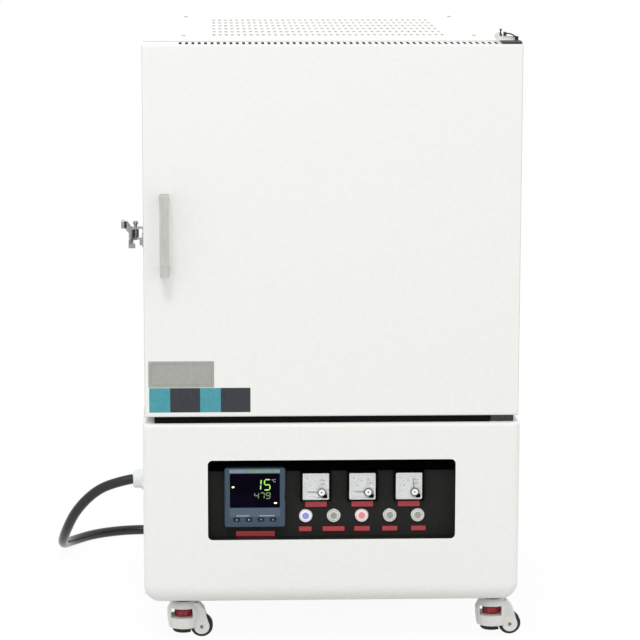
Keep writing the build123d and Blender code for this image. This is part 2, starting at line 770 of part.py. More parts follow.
def caster_mount(x, y):
    """Plate bolted under the cabinet, black swivel race and hollow kingpin."""
    mount = Pos(x, y, base_bottom - caster_plate_thickness / 2) * Box(
        caster_plate, caster_plate, caster_plate_thickness)
    mount += upright(x, y, bearing_radius, (housing_top + sliding_gap, base_bottom - 1))
    mount += upright(x, y, kingpin_radius, (housing_top - 8, housing_top + 1))
    return mount - upright(x, y, kingpin_bore, (housing_top - 9, base_bottom - 2))


def caster_housing(x, y):
    """Cast housing: domed drum with a window for the thumb wheel and two wheel cheeks."""
    profile = make_face(Polyline((0, housing_bottom), (housing_foot_radius, housing_bottom),
                                 (housing_radius, window_bottom + 1.4), (housing_radius, window_top - 2.6),
                                 (housing_shoulder_radius, housing_top - 4.0),
                                 (housing_top_radius, housing_top), (0, housing_top), close=True))
    drum = revolve(Plane.XZ * profile, Axis.Z)
    shoulder = housing_top - 3.5
    cheek = make_face(Polyline((0, housing_bottom), (caster_trail, housing_bottom),
                               (caster_trail + 11.2, caster_wheel_radius + 5.1),
                               (caster_trail + 4, shoulder - 10.5), (caster_trail - 5.5, shoulder),
                               (0, shoulder), close=True))
    cheek = cheek + Pos(caster_trail, caster_wheel_radius) * Circle(cheek_radius)
    drum += facing(0, 0, cheek, (-cheek_outer, cheek_outer))
    wheel_space = caster_wheel_radius + wheel_clearance
    drum -= crosswise(caster_trail, caster_wheel_radius, wheel_space, (-cheek_inner, cheek_inner))
    drum -= span((caster_trail - 12, caster_trail + 20), (-cheek_inner, cheek_inner), (0, caster_wheel_radius))
    drum -= span((-window_half - window_offset, window_half - window_offset),
                 (-housing_radius - 4, housing_radius + 4), (window_bottom, window_top))
    drum -= upright(0, 0, thumb_radius + 1.0, (window_bottom, window_top))
    drum -= upright(0, 0, pad_radius + 1.0, (housing_bottom - 1, window_bottom - 5.0))
    drum -= upright(0, 0, stem_radius + running_gap, (housing_bottom, window_bottom + 1))
    drum -= upright(0, 0, kingpin_radius + running_gap, (window_top - 1, housing_top + 1))
    for side in (-1, 1):
        head = sorted((side * cheek_outer, side * (cheek_outer + 1)))
        drum += crosswise(caster_trail, caster_wheel_radius, axle_head_radius, head)
    drum += crosswise(caster_trail, caster_wheel_radius, axle_radius, (-cheek_outer, cheek_outer))
    return Pos(x, y, 0) * drum


def caster_wheel(x, y):
    """Tyre on a spoked-in hub, bored for the axle."""
    tyre = crosswise(caster_trail, caster_wheel_radius, caster_wheel_radius, (-wheel_half, wheel_half))
    tyre = chamfer(tyre.edges().filter_by(GeomType.CIRCLE), 1.6)
    for side in (-1, 1):
        recess = sorted((side * hub_web_half, side * (wheel_half + 1)))
        tyre -= ring(caster_trail, caster_wheel_radius, hub_outer_radius, hub_inner_radius, recess)
    bore = axle_radius + running_gap
    return Pos(x, y, 0) * (tyre - crosswise(caster_trail, caster_wheel_radius, bore, (-wheel_half, wheel_half)))


def thumb_wheel(x, y):
    """Adjusting wheel with finger scallops, threaded on the foot's stem."""
    scallops = repeated(Circle(2.6), PolarLocations(thumb_radius + 1.2, 8))
    outline = Circle(thumb_radius) - scallops - Circle(stem_radius + running_gap)
    return Pos(x, y, thumb_z[0]) * extrude(outline, thumb_z[1] - thumb_z[0])


def foot_pad(x, y):
    """Rubber-faced foot on a stem, hollowed beside the caster's wheel."""
    pad = upright(0, 0, pad_radius, pad_z)
    pad = chamfer(pad.faces().sort_by(Axis.Z)[0].edges(), 1.8)
    pad += upright(0, 0, 12.0, (pad_z[1], pad_z[1] + 3.0))
    pad -= crosswise(caster_trail, caster_wheel_radius, caster_wheel_radius + 1.6,
                     (-cheek_outer - 1.5, cheek_outer + 1.5))
    pad += upright(0, 0, stem_radius, (pad_z[1], housing_top - 2))
    return Pos(x, y, 0) * pad


nodes["caster_mounts"] = [caster_mount(x, y) for x, y in caster_places.values()]
for place, (x, y) in caster_places.items():
    nodes[f"{place}_caster_housing"] = caster_housing(x, y)
    nodes[f"{place}_caster_wheel"] = caster_wheel(x, y)
    nodes[f"{place}_thumb_wheel"] = thumb_wheel(x, y)
    nodes[f"{place}_foot_pad"] = foot_pad(x, y)

# ================================================================ mains cord
gland_reach = 29.0
gland_nut_across = 33.0
gland_nut = 12.0
gland_collar = 6.0
gland_tail = 12.0
gland_lock_nut = 5.0
gland_dome_round = 5.0
plug_length = 74.0
plug_radius = 27.0
pin_length = 24.0
pin_radius = 3.0
pin_circle = 11.0
cord_radius = cord_diameter / 2
coil_radius = 101.0
coil_turns = 2
coil_middle = (-half_base + 166.5, cabinet_depth + 148.0)
coil_height = cord_diameter * (coil_turns + 1)
tail_run = 110.0
cord_exit = (-half_base - gland_reach, gland_y, gland_z)
coil_entry = (coil_middle[0], coil_middle[1] - coil_radius, cord_radius)
coil_exit = (coil_entry[0], coil_entry[1], coil_height - cord_radius)


def beyond_gland(out, back, height):
    """Place reached from the gland's mouth, outwards, then backwards, above the floor."""
    return (cord_exit[0] - out, gland_y + back, height)


cord_route = [
    cord_exit,
    beyond_gland(26.5, 0, gland_z - 5.0),
    beyond_gland(64.5, 2, gland_z - 20.0),
    beyond_gland(101.5, 14, gland_z - 59.0),
    beyond_gland(122.5, 44, gland_z / 3),
    beyond_gland(130.5, 96, gland_z / 8),
    beyond_gland(119.5, 160, cord_radius),
    beyond_gland(76.5, 217, cord_radius),
    beyond_gland(8.5, 246, cord_radius),
    beyond_gland(-69.5, 238, cord_radius),
    beyond_gland(-135.5, 216, cord_radius),
    coil_entry,
]
tail_end = (coil_exit[0] + tail_run, coil_exit[1], plug_radius)


def corner_radii(route):
    """Each bend takes 0.45 of its shorter run."""
    radii = []
    for before, here, after in zip(route, route[1:], route[2:]):
        entering, leaving = Vector(*here) - Vector(*before), Vector(*after) - Vector(*here)
        turn = radians(entering.get_angle(leaving))
        radii.append(0.45 * min(entering.length, leaving.length) / tan(turn / 2))
    return radii


def cable_gland():
    """Compression gland: collar against the cabinet, hexagon nut and rounded dome."""
    middle = Pos(-half_base, gland_y, gland_z) * Rot(0, -90, 0)
    hexagon = RegularPolygon(gland_nut_across / 2, 6, major_radius=False)
    collar = gland_collar / 2
    body = middle * extrude(Circle(gland_nut_across / 2 + 1.5), collar)
    body += middle * Pos(0, 0, collar) * extrude(hexagon, gland_nut)
    dome = extrude(Circle(gland_nut_across / 2 - 0.4), gland_reach - gland_nut - collar)
    dome = fillet(dome.edges().sort_by(Axis.Z)[-1], gland_dome_round)
    body += middle * Pos(0, 0, collar + gland_nut) * dome
    tail = middle * Pos(0, 0, -gland_tail) * extrude(Circle(gland_bore_radius), gland_tail + 1)
    lock_nut = middle * Pos(0, 0, -sheet - gland_lock_nut) * extrude(hexagon, gland_lock_nut)
    return body + tail + lock_nut


def cord_tube(route, radii):
    """Round cord along straight runs joined by tangent arcs."""
    path = FilletPolyline(*route, radius=radii) if radii else Line(*route)
    start = Plane(route[0], z_dir=Vector(*route[1]) - Vector(*route[0]))
    return sweep(start * Circle(cord_radius), path=path)


def cord_coil():
    """Outer shape of the wound-up length: a ring as wide as the cord."""
    outline = RectangleRounded(cord_diameter, coil_height, cord_radius * 0.8)
    wound = revolve(Plane.XZ * Pos(coil_radius, coil_height / 2) * outline, Axis.Z)
    return Pos(coil_middle[0], coil_middle[1], 0) * wound


def mains_plug():
    """Straight industrial plug with three pins, lying at the end of the cord."""
    along = Plane(tail_end, z_dir=(1, 0, 0), x_dir=(0, 0, 1))
    profile = make_face(Polyline((0, 0), (cord_radius + 3, 0), (cord_radius + 4, 16), (20.0, 28),
                                 (plug_radius, 40), (plug_radius, plug_length), (0, plug_length), close=True))
    body = along * revolve(Plane.XZ * profile, Axis.Z)
    for number in range(3):
        angle = radians(90 + 120 * number)
        body += along * Pos(pin_circle * cos(angle), pin_circle * sin(angle), plug_length) * extrude(
            Circle(pin_radius), pin_length)
    return body


nodes["cable_gland"] = cable_gland()
nodes["cord_cable"] = [cord_tube(cord_route, corner_radii(cord_route)), cord_tube([coil_exit, tail_end], [])]
nodes["cord_coil"] = cord_coil()
nodes["mains_plug"] = mains_plug()

# ================================================================ place and write
reach_left = latch_grip_x[0]
reach_right = caster_right + caster_trail + caster_wheel_radius
reach_front = -handle_reach
reach_back = cabinet_depth
to_frame = Pos(-(reach_left + reach_right) / 2, -(reach_front + reach_back) / 2, 0)

os.makedirs("parts", exist_ok=True)
for name, shape in nodes.items():
    solids = shape if isinstance(shape, list) else [shape]
    placed = [to_frame * solid for solid in solids]
    whole = placed[0] if len(placed) == 1 else Compound(children=placed)
    export_step(whole, f"parts/{name}.step")

print("nodes", len(nodes))
print("frame shift", tuple(round(value, 3) for value in to_frame.position))
print("cord radii", [round(radius) for radius in corner_radii(cord_route)])
lead = nodes["cord_cable"][0].volume / (cord_radius ** 2 * pi)
print("cord length", round(lead + 2 * pi * coil_radius * coil_turns + tail_run))
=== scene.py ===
from math import cos, pi, radians, sin

import bmesh
import bpy
from mathutils import Matrix, Vector


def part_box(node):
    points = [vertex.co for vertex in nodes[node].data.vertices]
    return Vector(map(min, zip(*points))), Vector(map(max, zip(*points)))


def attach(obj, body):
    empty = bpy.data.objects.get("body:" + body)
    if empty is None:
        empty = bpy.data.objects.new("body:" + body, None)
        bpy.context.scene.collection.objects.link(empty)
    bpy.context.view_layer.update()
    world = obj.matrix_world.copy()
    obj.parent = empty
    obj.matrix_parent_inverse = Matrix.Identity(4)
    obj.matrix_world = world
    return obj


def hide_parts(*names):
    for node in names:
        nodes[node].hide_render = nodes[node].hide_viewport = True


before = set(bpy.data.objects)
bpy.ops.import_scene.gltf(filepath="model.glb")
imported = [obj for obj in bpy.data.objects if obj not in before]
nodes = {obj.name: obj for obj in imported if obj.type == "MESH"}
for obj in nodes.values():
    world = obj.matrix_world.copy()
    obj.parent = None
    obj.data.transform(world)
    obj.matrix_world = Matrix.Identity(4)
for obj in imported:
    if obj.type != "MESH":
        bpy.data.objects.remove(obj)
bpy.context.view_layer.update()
MM = 0.001

# ================================================================ camera
# A portrait lens four and a half metres in front of the furnace, at the height of a
# standing person's chest, turned and tipped a little towards the door.
lens_mm = 157.5
film_mm = 36.0
camera_place = Vector((-0.1760, -4.5934, 1.2685))
camera_turn = radians(2.2471)
camera_tilt = radians(9.8408)
camera_roll = radians(0.1027)

camera_data = bpy.data.cameras.new("camera")
camera_data.lens = lens_mm
camera_data.sensor_width = film_mm
camera_data.clip_end = 100.0
camera = bpy.data.objects.new("camera", camera_data)
camera.matrix_world = (Matrix.Translation(camera_place)
                       @ Matrix.Rotation(-camera_turn, 4, "Z")
                       @ Matrix.Rotation(pi / 2 - camera_tilt, 4, "X")
                       @ Matrix.Rotation(camera_roll, 4, "Z"))
bpy.context.collection.objects.link(camera)
bpy.context.scene.camera = camera
bpy.context.scene.view_settings.view_transform = "Standard"


# ================================================================ mains cord
# H07RN-F rubber cord, 17.5 mm thick.  It leaves the gland level, sinks to the floor in a
# wide curve, and what is left of its two metres is wound into a flat coil behind the casing.
def paint(code):
    """Linear colour of an sRGB hex code."""
    shares = [int(code[start:start + 2], 16) / 255 for start in (1, 3, 5)]
    return tuple(s / 12.92 if s <= 0.04045 else ((s + 0.055) / 1.055) ** 2.4 for s in shares) + (1.0,)


def add_node(tree, kind, values=None, **settings):
    """One node with its settings; a value that is a socket is linked, any other is set."""
    made = tree.nodes.new(kind)
    for setting, value in settings.items():
        setattr(made, setting, value)
    for socket, value in (values or {}).items():
        if isinstance(value, bpy.types.NodeSocket):
            tree.links.new(value, made.inputs[socket])
        else:
            made.inputs[socket].default_value = value
    return made


def surface(name, values):
    """A new material with its glossy shader, the values on the shader's own sockets."""
    made = bpy.data.materials.new(name)
    made.use_nodes = True
    shader = made.node_tree.nodes["Principled BSDF"]
    for socket, value in values.items():
        shader.inputs[socket].default_value = value
    return made, made.node_tree, shader


def mottle(tree, shader, pattern, codes, roughness, depth_mm, low=0.3, high=0.7):
    """Lets one pattern move the colour, the roughness and the height of a surface."""
    ramp = add_node(tree, "ShaderNodeValToRGB", {"Fac": pattern})
    for element, place, code in zip(ramp.color_ramp.elements, (low, high), codes):
        element.position = place
        element.color = paint(code)
    spread = add_node(tree, "ShaderNodeMapRange", {"Value": pattern, "To Min": roughness[0],
                                                   "To Max": roughness[1]})
    bump = add_node(tree, "ShaderNodeBump", {"Height": pattern, "Distance": depth_mm * MM,
                                             "Strength": 0.6})
    tree.links.new(ramp.outputs["Color"], shader.inputs["Base Color"])
    tree.links.new(spread.outputs["Result"], shader.inputs["Roughness"])
    tree.links.new(bump.outputs["Normal"], shader.inputs["Normal"])


def chloroprene_rubber():
    """Extruded chloroprene sheath: near black with a blue cast, waxy, with faint drawn ripples."""
    made, tree, shader = surface("chloroprene_rubber", {"IOR": 1.52})
    ripple_mm = 4.0  # the die's marks are finer and are drawn coarser here
    place = add_node(tree, "ShaderNodeTexCoord")
    ripple = add_node(tree, "ShaderNodeTexNoise", {"Vector": place.outputs["Object"],
                                                   "Scale": 1 / (ripple_mm * MM), "Detail": 3.0})
    mottle(tree, shader, ripple.outputs["Fac"], ("#08090F", "#12141F"), (0.16, 0.25), 0.05)
    return made


cord_thickness = 17.5 * MM
coil_middle = Vector((-0.11845, 0.488, 0.0))
coil_radius = 0.101
coil_turns = 2
points_per_turn = 16
gland_low, gland_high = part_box("cable_gland")
cord_exit = Vector((gland_low.x, (gland_low.y + gland_high.y) / 2, (gland_low.z + gland_high.z) / 2))
lead_route = [
    (-0.34045, 0.178, 0.156), (-0.37845, 0.180, 0.141), (-0.41545, 0.192, 0.102),
    (-0.43645, 0.222, 0.05367), (-0.44445, 0.274, 0.02013), (-0.43345, 0.338, 0.00875),
    (-0.39045, 0.395, 0.00875), (-0.32245, 0.424, 0.00875), (-0.24445, 0.416, 0.00875),
    (-0.17845, 0.394, 0.00875),
]
coil_route = []
for step in range(coil_turns * points_per_turn + 1):
    turned = 2 * pi * step / points_per_turn - pi / 2
    height = cord_thickness * (0.5 + step / points_per_turn)
    coil_route.append((coil_middle.x + coil_radius * cos(turned),
                       coil_middle.y + coil_radius * sin(turned), height))
tail_route = [(-0.06345, 0.387, 0.0385), (-0.00845, 0.387, 0.027)]

cord_curve = bpy.data.curves.new("mains_cord", "CURVE")
cord_curve.dimensions = "3D"
cord_curve.bevel_depth = cord_thickness / 2
cord_curve.bevel_resolution = 6
cord_curve.resolution_u = 10
cord_curve.use_fill_caps = True
route = [tuple(cord_exit)] + lead_route + coil_route + tail_route
line = cord_curve.splines.new("NURBS")
line.points.add(len(route) - 1)
for point, spot in zip(line.points, route):
    point.co = (*spot, 1.0)
line.order_u = 3
line.use_endpoint_u = True
mains_cord = bpy.data.objects.new("mains_cord", cord_curve)
bpy.context.collection.objects.link(mains_cord)
cord_curve.materials.append(chloroprene_rubber())
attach(mains_cord, "cabinet")
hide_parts("cord_cable", "cord_coil")


# ---------------------------------------------------------------- cord tie
# A strip of hook-and-loop tape laid round both turns on the far side of the coil.
def mesh_piece(name, vertices, faces, body, material, smooth=False):
    """A piece from points in metres in the shared frame; it rides on a body of the CAD."""
    data = bpy.data.meshes.new(name)
    data.from_pydata([tuple(v) for v in vertices], [], faces)
    checked = bmesh.new()
    checked.from_mesh(data)
    bmesh.ops.recalc_face_normals(checked, faces=checked.faces)
    checked.to_mesh(data)
    checked.free()
    if smooth:
        data.shade_smooth()
        data.set_sharp_from_angle(angle=radians(35))
    made = bpy.data.objects.new(name, data)
    bpy.context.collection.objects.link(made)
    data.materials.append(material)
    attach(made, body)
    return made


def nylon_tape():
    """Woven nylon hook-and-loop tape: matt black with a coarse cross weave."""
    made, tree, shader = surface("nylon_tape", {"IOR": 1.53, "Sheen Weight": 0.3})
    thread_mm = 1.2
    place = add_node(tree, "ShaderNodeTexCoord")
    weave = add_node(tree, "ShaderNodeTexChecker", {"Vector": place.outputs["Object"],
                                                    "Scale": 1 / (thread_mm * MM)})
    mottle(tree, shader, weave.outputs["Fac"], ("#17181B", "#2A2B2F"), (0.7, 0.9), 0.2)
    return made


tie_width = 20 * MM
tie_thickness = 1.2 * MM
tie_steps = 8
tie_half_gap = cord_thickness / 2 + 0.4 * MM
tie_low, tie_high = cord_thickness * 0.5, cord_thickness * 2.5


def tie_outline(grow):
    """Upright slot shape, seen along the cord, that clears both turns."""
    reach = tie_half_gap + grow
    points = []
    for middle, start in ((tie_low + tie_half_gap, -pi), (tie_high - tie_half_gap, 0.0)):
        for step in range(tie_steps + 1):
            bend = start + pi * step / tie_steps
            points.append((reach * cos(bend), middle + reach * sin(bend)))
    return points


tie_points = []
for grow in (0.0, tie_thickness):
    for x in (coil_middle.x - tie_width / 2, coil_middle.x + tie_width / 2):
        for across, height in tie_outline(grow):
            tie_points.append((x, coil_middle.y + coil_radius - 0.001 + across, height))
around = 2 * (tie_steps + 1)
tie_faces = []
for step in range(around):
    following = (step + 1) % around
    for one, other in ((0, 1), (1, 3), (3, 2), (2, 0)):
        tie_faces.append((one * around + step, one * around + following,
                          other * around + following, other * around + step))
cord_tie = mesh_piece("cord_tie", tie_points, tie_faces, "cabinet", nylon_tape(), smooth=True)


# ---------------------------------------------------------------- mains plug and gland
# A solid rubber three-pin plug with brass pins, and the nylon gland that grips the cord
# where it enters the cabinet's left side.
def moulded(name, codes, roughness, ior, grain_mm, depth_mm):
    """Injection-moulded plastic or rubber: the fine spark-eroded grain of its mould."""
    made, tree, shader = surface(name, {"IOR": ior})
    place = add_node(tree, "ShaderNodeTexCoord")
    grain = add_node(tree, "ShaderNodeTexNoise", {"Vector": place.outputs["Object"],
                                                  "Scale": 1 / (grain_mm * MM), "Detail": 4.0})
    mottle(tree, shader, grain.outputs["Fac"], codes, roughness, depth_mm)
    return made


def dress(material, *names):
    """A carried-over CAD node takes this material in each of its slots."""
    for name in names:
        for held in nodes[name].material_slots:
            held.material = material


moulded_rubber = moulded("moulded_rubber", ("#101013", "#1C1C20"), (0.45, 0.6), 1.52, 3.0, 0.1)
polyamide_light_grey = moulded("polyamide_light_grey", ("#E9ECEF", "#F2F4F6"), (0.42, 0.52), 1.53, 2.5, 0.03)
dress(moulded_rubber, "mains_plug")
dress(polyamide_light_grey, "cable_gland")


# ================================================================ casters
# Four levelling casters: a zinc housing with white powder coat, a black polyurethane
# wheel, and a red thumb wheel that screws a rubber-faced foot down to the floor.
def powder_coat(name, codes, roughness, peel_mm=5.0, depth_mm=0.05, specular=0.5):
    """Baked polyester powder: satin, with the soft orange peel it leaves as it melts.
    The real peel is about 1 mm across and is drawn coarser, so that it shows."""
    made, tree, shader = surface(name, {"IOR": 1.5, "Specular IOR Level": specular})
    place = add_node(tree, "ShaderNodeTexCoord")
    peel = add_node(tree, "ShaderNodeTexNoise", {"Vector": place.outputs["Object"],
                                                 "Scale": 1 / (peel_mm * MM), "Detail": 2.0})
    mottle(tree, shader, peel.outputs["Fac"], codes, roughness, depth_mm)
    return made


def turned_piece(name, profile, places, axis, body, material, steps=24):
    """One profile (radius, height) in metres, turned about an axis and set at each place."""
    across = axis.orthogonal().normalized()
    along = axis.cross(across)
    vertices, faces = [], []
    for place in places:
        first = len(vertices)
        for radius, height in profile:
            for step in range(steps):
                swing = 2 * pi * step / steps
                vertices.append(place + axis * height + across * (radius * cos(swing))
                                + along * (radius * sin(swing)))
        for row in range(len(profile) - 1):
            for step in range(steps):
                beside = (step + 1) % steps
                low, high = first + row * steps, first + (row + 1) * steps
                faces.append((low + step, low + beside, high + beside, high + step))
        faces.append(tuple(first + step for step in range(steps)))
        faces.append(tuple(first + (len(profile) - 1) * steps + step for step in range(steps)))
    return mesh_piece(name, vertices, faces, body, material, smooth=True)


coated_zinc = powder_coat("coated_zinc_casting", ("#E2E1DE", "#EBEAE7"), (0.38, 0.5), 4.0)
polyurethane_black = moulded("polyurethane_black", ("#0A0A0A", "#131313"), (0.45, 0.6), 1.5, 2.0, 0.04)
acetal_red = moulded("acetal_red", ("#8E1226", "#B3263A"), (0.25, 0.38), 1.48, 2.5, 0.04)
nitrile_rubber = moulded("nitrile_rubber", ("#0D0D0C", "#171716"), (0.65, 0.8), 1.52, 2.5, 0.08)
blackened_steel = moulded("blackened_steel", ("#232425", "#37393A"), (0.4, 0.58), 1.5, 3.0, 0.05)


def brushed_steel(name, codes, roughness, scratch_mm, stretch):
    """Stainless steel after a belt: fine scratches in one direction, drawn coarser to show."""
    made, tree, shader = surface(name, {"Metallic": 1.0})
    place = add_node(tree, "ShaderNodeTexCoord")
    pull = add_node(tree, "ShaderNodeMapping", {"Vector": place.outputs["Object"], "Scale": stretch})
    scratch = add_node(tree, "ShaderNodeTexNoise", {"Vector": pull.outputs["Vector"],
                                                    "Scale": 1 / (scratch_mm * MM), "Detail": 3.0})
    mottle(tree, shader, scratch.outputs["Fac"], codes, roughness, 0.01)
    return made


bright_stainless = brushed_steel("bright_stainless", ("#A5A5A1", "#C9C9C5"), (0.16, 0.3), 1.5, (1.0, 1.0, 1.0))
zinc_rivet = brushed_steel("zinc_rivet", ("#6E6E6C", "#8E8E8B"), (0.3, 0.45), 1.5, (1.0, 1.0, 1.0))
caster_names = ("front_left", "front_right", "rear_left", "rear_right")
rivet_radius = 2.8 * MM
rivet_profile = [(rivet_radius, 0.0), (rivet_radius, 0.5 * MM), (rivet_radius * 0.7, 0.9 * MM),
                 (rivet_radius * 0.4, 0.9 * MM), (rivet_radius * 0.35, 0.4 * MM)]
for place in caster_names:
    dress(coated_zinc, f"{place}_caster_housing")
    dress(polyurethane_black, f"{place}_caster_wheel")
    dress(acetal_red, f"{place}_thumb_wheel")
    dress(nitrile_rubber, f"{place}_foot_pad")
    wheel_low, wheel_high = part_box(f"{place}_caster_wheel")
    axle = (wheel_low + wheel_high) / 2
    for side, name in ((-1, "front"), (1, "rear")):
        face = Vector((axle.x, axle.y + side * 13.6 * MM, axle.z))
        turned_piece(f"{place}_axle_{name}", rivet_profile, [face], Vector((0, side, 0)),
                     f"{place}_caster", zinc_rivet, steps=20)
dress(blackened_steel, "caster_mounts")

# Hexagon screws hold each caster's plate under the cabinet.
screw_inset = 6.0 * MM
screw_head = [(3.6 * MM, 0.0), (3.6 * MM, 2.0 * MM), (3.1 * MM, 2.6 * MM)]
mounts_low, mounts_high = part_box("caster_mounts")
plate_side = 44 * MM
plate_under = mounts_high.z - 2 * MM
plate_screws = []
for column in (mounts_low.x + plate_side / 2, mounts_high.x - plate_side / 2):
    for row in (mounts_low.y + plate_side / 2, mounts_high.y - plate_side / 2):
        for across in (-1, 1):
            for along in (-1, 1):
                plate_screws.append(Vector((column + across * (plate_side / 2 - screw_inset),
                                            row + along * (plate_side / 2 - screw_inset), plate_under)))
turned_piece("caster_plate_screws", screw_head, plate_screws, Vector((0, 0, -1)), "cabinet",
             bright_stainless, steps=6)

# ================================================================ control cabinet
# Folded sheet steel with a warm white powder coat: the front is one sheet, rolled back
# over the top and the bottom, and the sides, floor and back are a second one.
white_coat = powder_coat("white_powder_coat", ("#F1F2EF", "#F4F5F2"), (0.42, 0.5), 7.0, 0.015)
dress(white_coat, "lower_body")


def within(tree, position, low, high):
    """1 inside a box of the object's own coordinates and 0 outside it."""
    spread = add_node(tree, "ShaderNodeSeparateXYZ", {"Vector": position})
    inside = None
    for axis, (least, most) in zip("XYZ", zip(low, high)):
        for operation, edge in (("GREATER_THAN", least), ("LESS_THAN", most)):
            test = add_node(tree, "ShaderNodeMath", {0: spread.outputs[axis], 1: edge}, operation=operation)
            inside = test if inside is None else add_node(
                tree, "ShaderNodeMath", {0: inside.outputs[0], 1: test.outputs[0]}, operation="MULTIPLY")
    return inside.outputs[0]


def shaded_inside(material, low, high, code):
    """The material takes another colour within a box: where a coat ends, or where shade is painted."""
    tree = material.node_tree
    shader = tree.nodes["Principled BSDF"]
    before = shader.inputs["Base Color"].links[0].from_socket
    place = add_node(tree, "ShaderNodeTexCoord")
    mask = within(tree, place.outputs["Object"], low, high)
    blend = add_node(tree, "ShaderNodeMix", {0: mask, 6: before, 7: paint(code)}, data_type="RGBA")
    tree.links.new(blend.outputs[2], shader.inputs["Base Color"])


# The collar of the instrument opening is masked and sprayed black with the plate behind it.
front_coat = powder_coat("white_powder_coat_front", ("#F1F2EF", "#F4F5F2"), (0.42, 0.5), 7.0, 0.015)
front_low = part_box("lower_front")[0]
plate_low, plate_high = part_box("control_panel")
panel_lap = 9 * MM
black_lap = panel_lap - 1 * MM
shaded_inside(front_coat, (plate_low.x + black_lap, front_low.y + 0.6 * MM, plate_low.z + black_lap),
              (plate_high.x - black_lap, plate_high.y, plate_high.z - black_lap), "#1A1A19")
dress(front_coat, "lower_front")

# The square-tube frame that lifts the hot casing off the cabinet is coated black, and its colour is made near black
# as painted shade for the narrow gap under the door, where its front shows.
gap_shade_coat = powder_coat("painted_gap_shade_black", ("#060606", "#0C0C0C"), (0.6, 0.72), 4.0, 0.05, 0.1)
dress(gap_shade_coat, "spacer_frame")

# ================================================================ instrument panel
# A recessed steel plate with fine-texture black powder coat.
panel_coat = powder_coat("textured_black_powder_coat", ("#232321", "#2B2B29"), (0.62, 0.78), 2.5, 0.05, 0.12)
dress(panel_coat, "control_panel")
# A thin near-black sheet along the plate's upper edge, behind the instruments, is painted shadow: the shadow that
# the opening's top edge casts on the recessed plate.
recess_shadow_black = powder_coat("painted_recess_shadow", ("#030303", "#060606"), (0.85, 0.95), 2.0, 0.1, 0.0)


# ---------------------------------------------------------------- temperature controller
# A panel controller in blue-grey ABS with a dark acrylic window, a status strip over it
# and four rubber keys under it.
def rounded(width, height, radius, steps=5):
    """Points round a rectangle with round corners, about its middle."""
    points = []
    for corner, (across, up) in enumerate(((1, 1), (-1, 1), (-1, -1), (1, -1))):
        for step in range(steps + 1):
            swing = pi / 2 * (corner + step / steps)
            points.append((across * (width / 2 - radius) + radius * cos(swing),
                           up * (height / 2 - radius) + radius * sin(swing)))
    return points


def raised(name, outlines, back, front, body, material):
    """Flat outlines of (x, z) points, given depth from y back to y front."""
    vertices, faces = [], []
    for outline in outlines:
        first, count = len(vertices), len(outline)
        vertices += [(x, back, z) for x, z in outline] + [(x, front, z) for x, z in outline]
        faces.append(tuple(first + step for step in range(count)))
        faces.append(tuple(first + count + step for step in range(count)))
        for step in range(count):
            beside = (step + 1) % count
            faces.append((first + step, first + beside, first + count + beside, first + count + step))
    return mesh_piece(name, vertices, faces, body, material)


def moved(outline, x, z):
    return [(x + across, z + up) for across, up in outline]


def framed(name, outer, inner, back, front, body, material):
    """A band between two outlines of as many points, given depth from y back to y front."""
    count = len(outer)
    vertices = [(x, y, z) for y in (back, front) for shape in (outer, inner) for x, z in shape]
    faces = []
    for step in range(count):
        beside = (step + 1) % count
        for one, other in ((0, 1), (1, 3), (3, 2), (2, 0)):
            faces.append((one * count + step, one * count + beside,
                          other * count + beside, other * count + step))
    return mesh_piece(name, vertices, faces, body, material)


# Painted shadow strip: from where the shadow ends up to the plate's top edge.
shadow_strip_half, shadow_strip_foot, shadow_strip_thickness = 196 * MM, 278 * MM, 0.8 * MM
shadow_strip_middle = (plate_low.x + plate_high.x) / 2
raised("painted_recess_shadow_strip", [[(shadow_strip_middle - shadow_strip_half, shadow_strip_foot), (shadow_strip_middle + shadow_strip_half, shadow_strip_foot),
                       (shadow_strip_middle + shadow_strip_half, plate_high.z), (shadow_strip_middle - shadow_strip_half, plate_high.z)]],
       plate_low.y + 0.1 * MM, plate_low.y - shadow_strip_thickness, "cabinet", recess_shadow_black)
case_low, case_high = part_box("controller_case")
controller = Vector(((case_low.x + case_high.x) / 2, case_low.y, (case_low.z + case_high.z) / 2))
abs_blue_grey = moulded("abs_blue_grey", ("#2C4154", "#35495C"), (0.42, 0.54), 1.54, 2.5, 0.03)
abs_plate_grey = moulded("abs_plate_grey", ("#46566A", "#4E5F73"), (0.42, 0.52), 1.54, 2.5, 0.02)
silicone_key = moulded("silicone_key", ("#0C1420", "#131C29"), (0.5, 0.62), 1.43, 1.5, 0.03)
dress(abs_blue_grey, "controller_case")
key_names = [f"controller_key_{number}" for number in range(1, 5)]
dress(silicone_key, *key_names)

window_width, window_height, window_rise = 79 * MM, 55 * MM, 11.3 * MM
window_z = controller.z + window_rise
acrylic_black, acrylic_tree, acrylic = surface("acrylic_black", {
    "Base Color": paint("#05040C"), "Roughness": 0.18, "IOR": 1.49, "Specular IOR Level": 0.02})
acrylic_place = add_node(acrylic_tree, "ShaderNodeTexCoord")
acrylic_haze = add_node(acrylic_tree, "ShaderNodeTexNoise", {
    "Vector": acrylic_place.outputs["Object"], "Scale": 1 / (20 * MM), "Detail": 1.0})
mottle(acrylic_tree, acrylic, acrylic_haze.outputs["Fac"], ("#05020F", "#090617"), (0.12, 0.2), 0.004)
raised("controller_window", [moved(rounded(window_width - 0.4 * MM, window_height - 0.4 * MM, 1.8 * MM),
                                   controller.x, window_z)],
       controller.y + 0.8 * MM, controller.y + 0.1 * MM, "cabinet", acrylic_black)

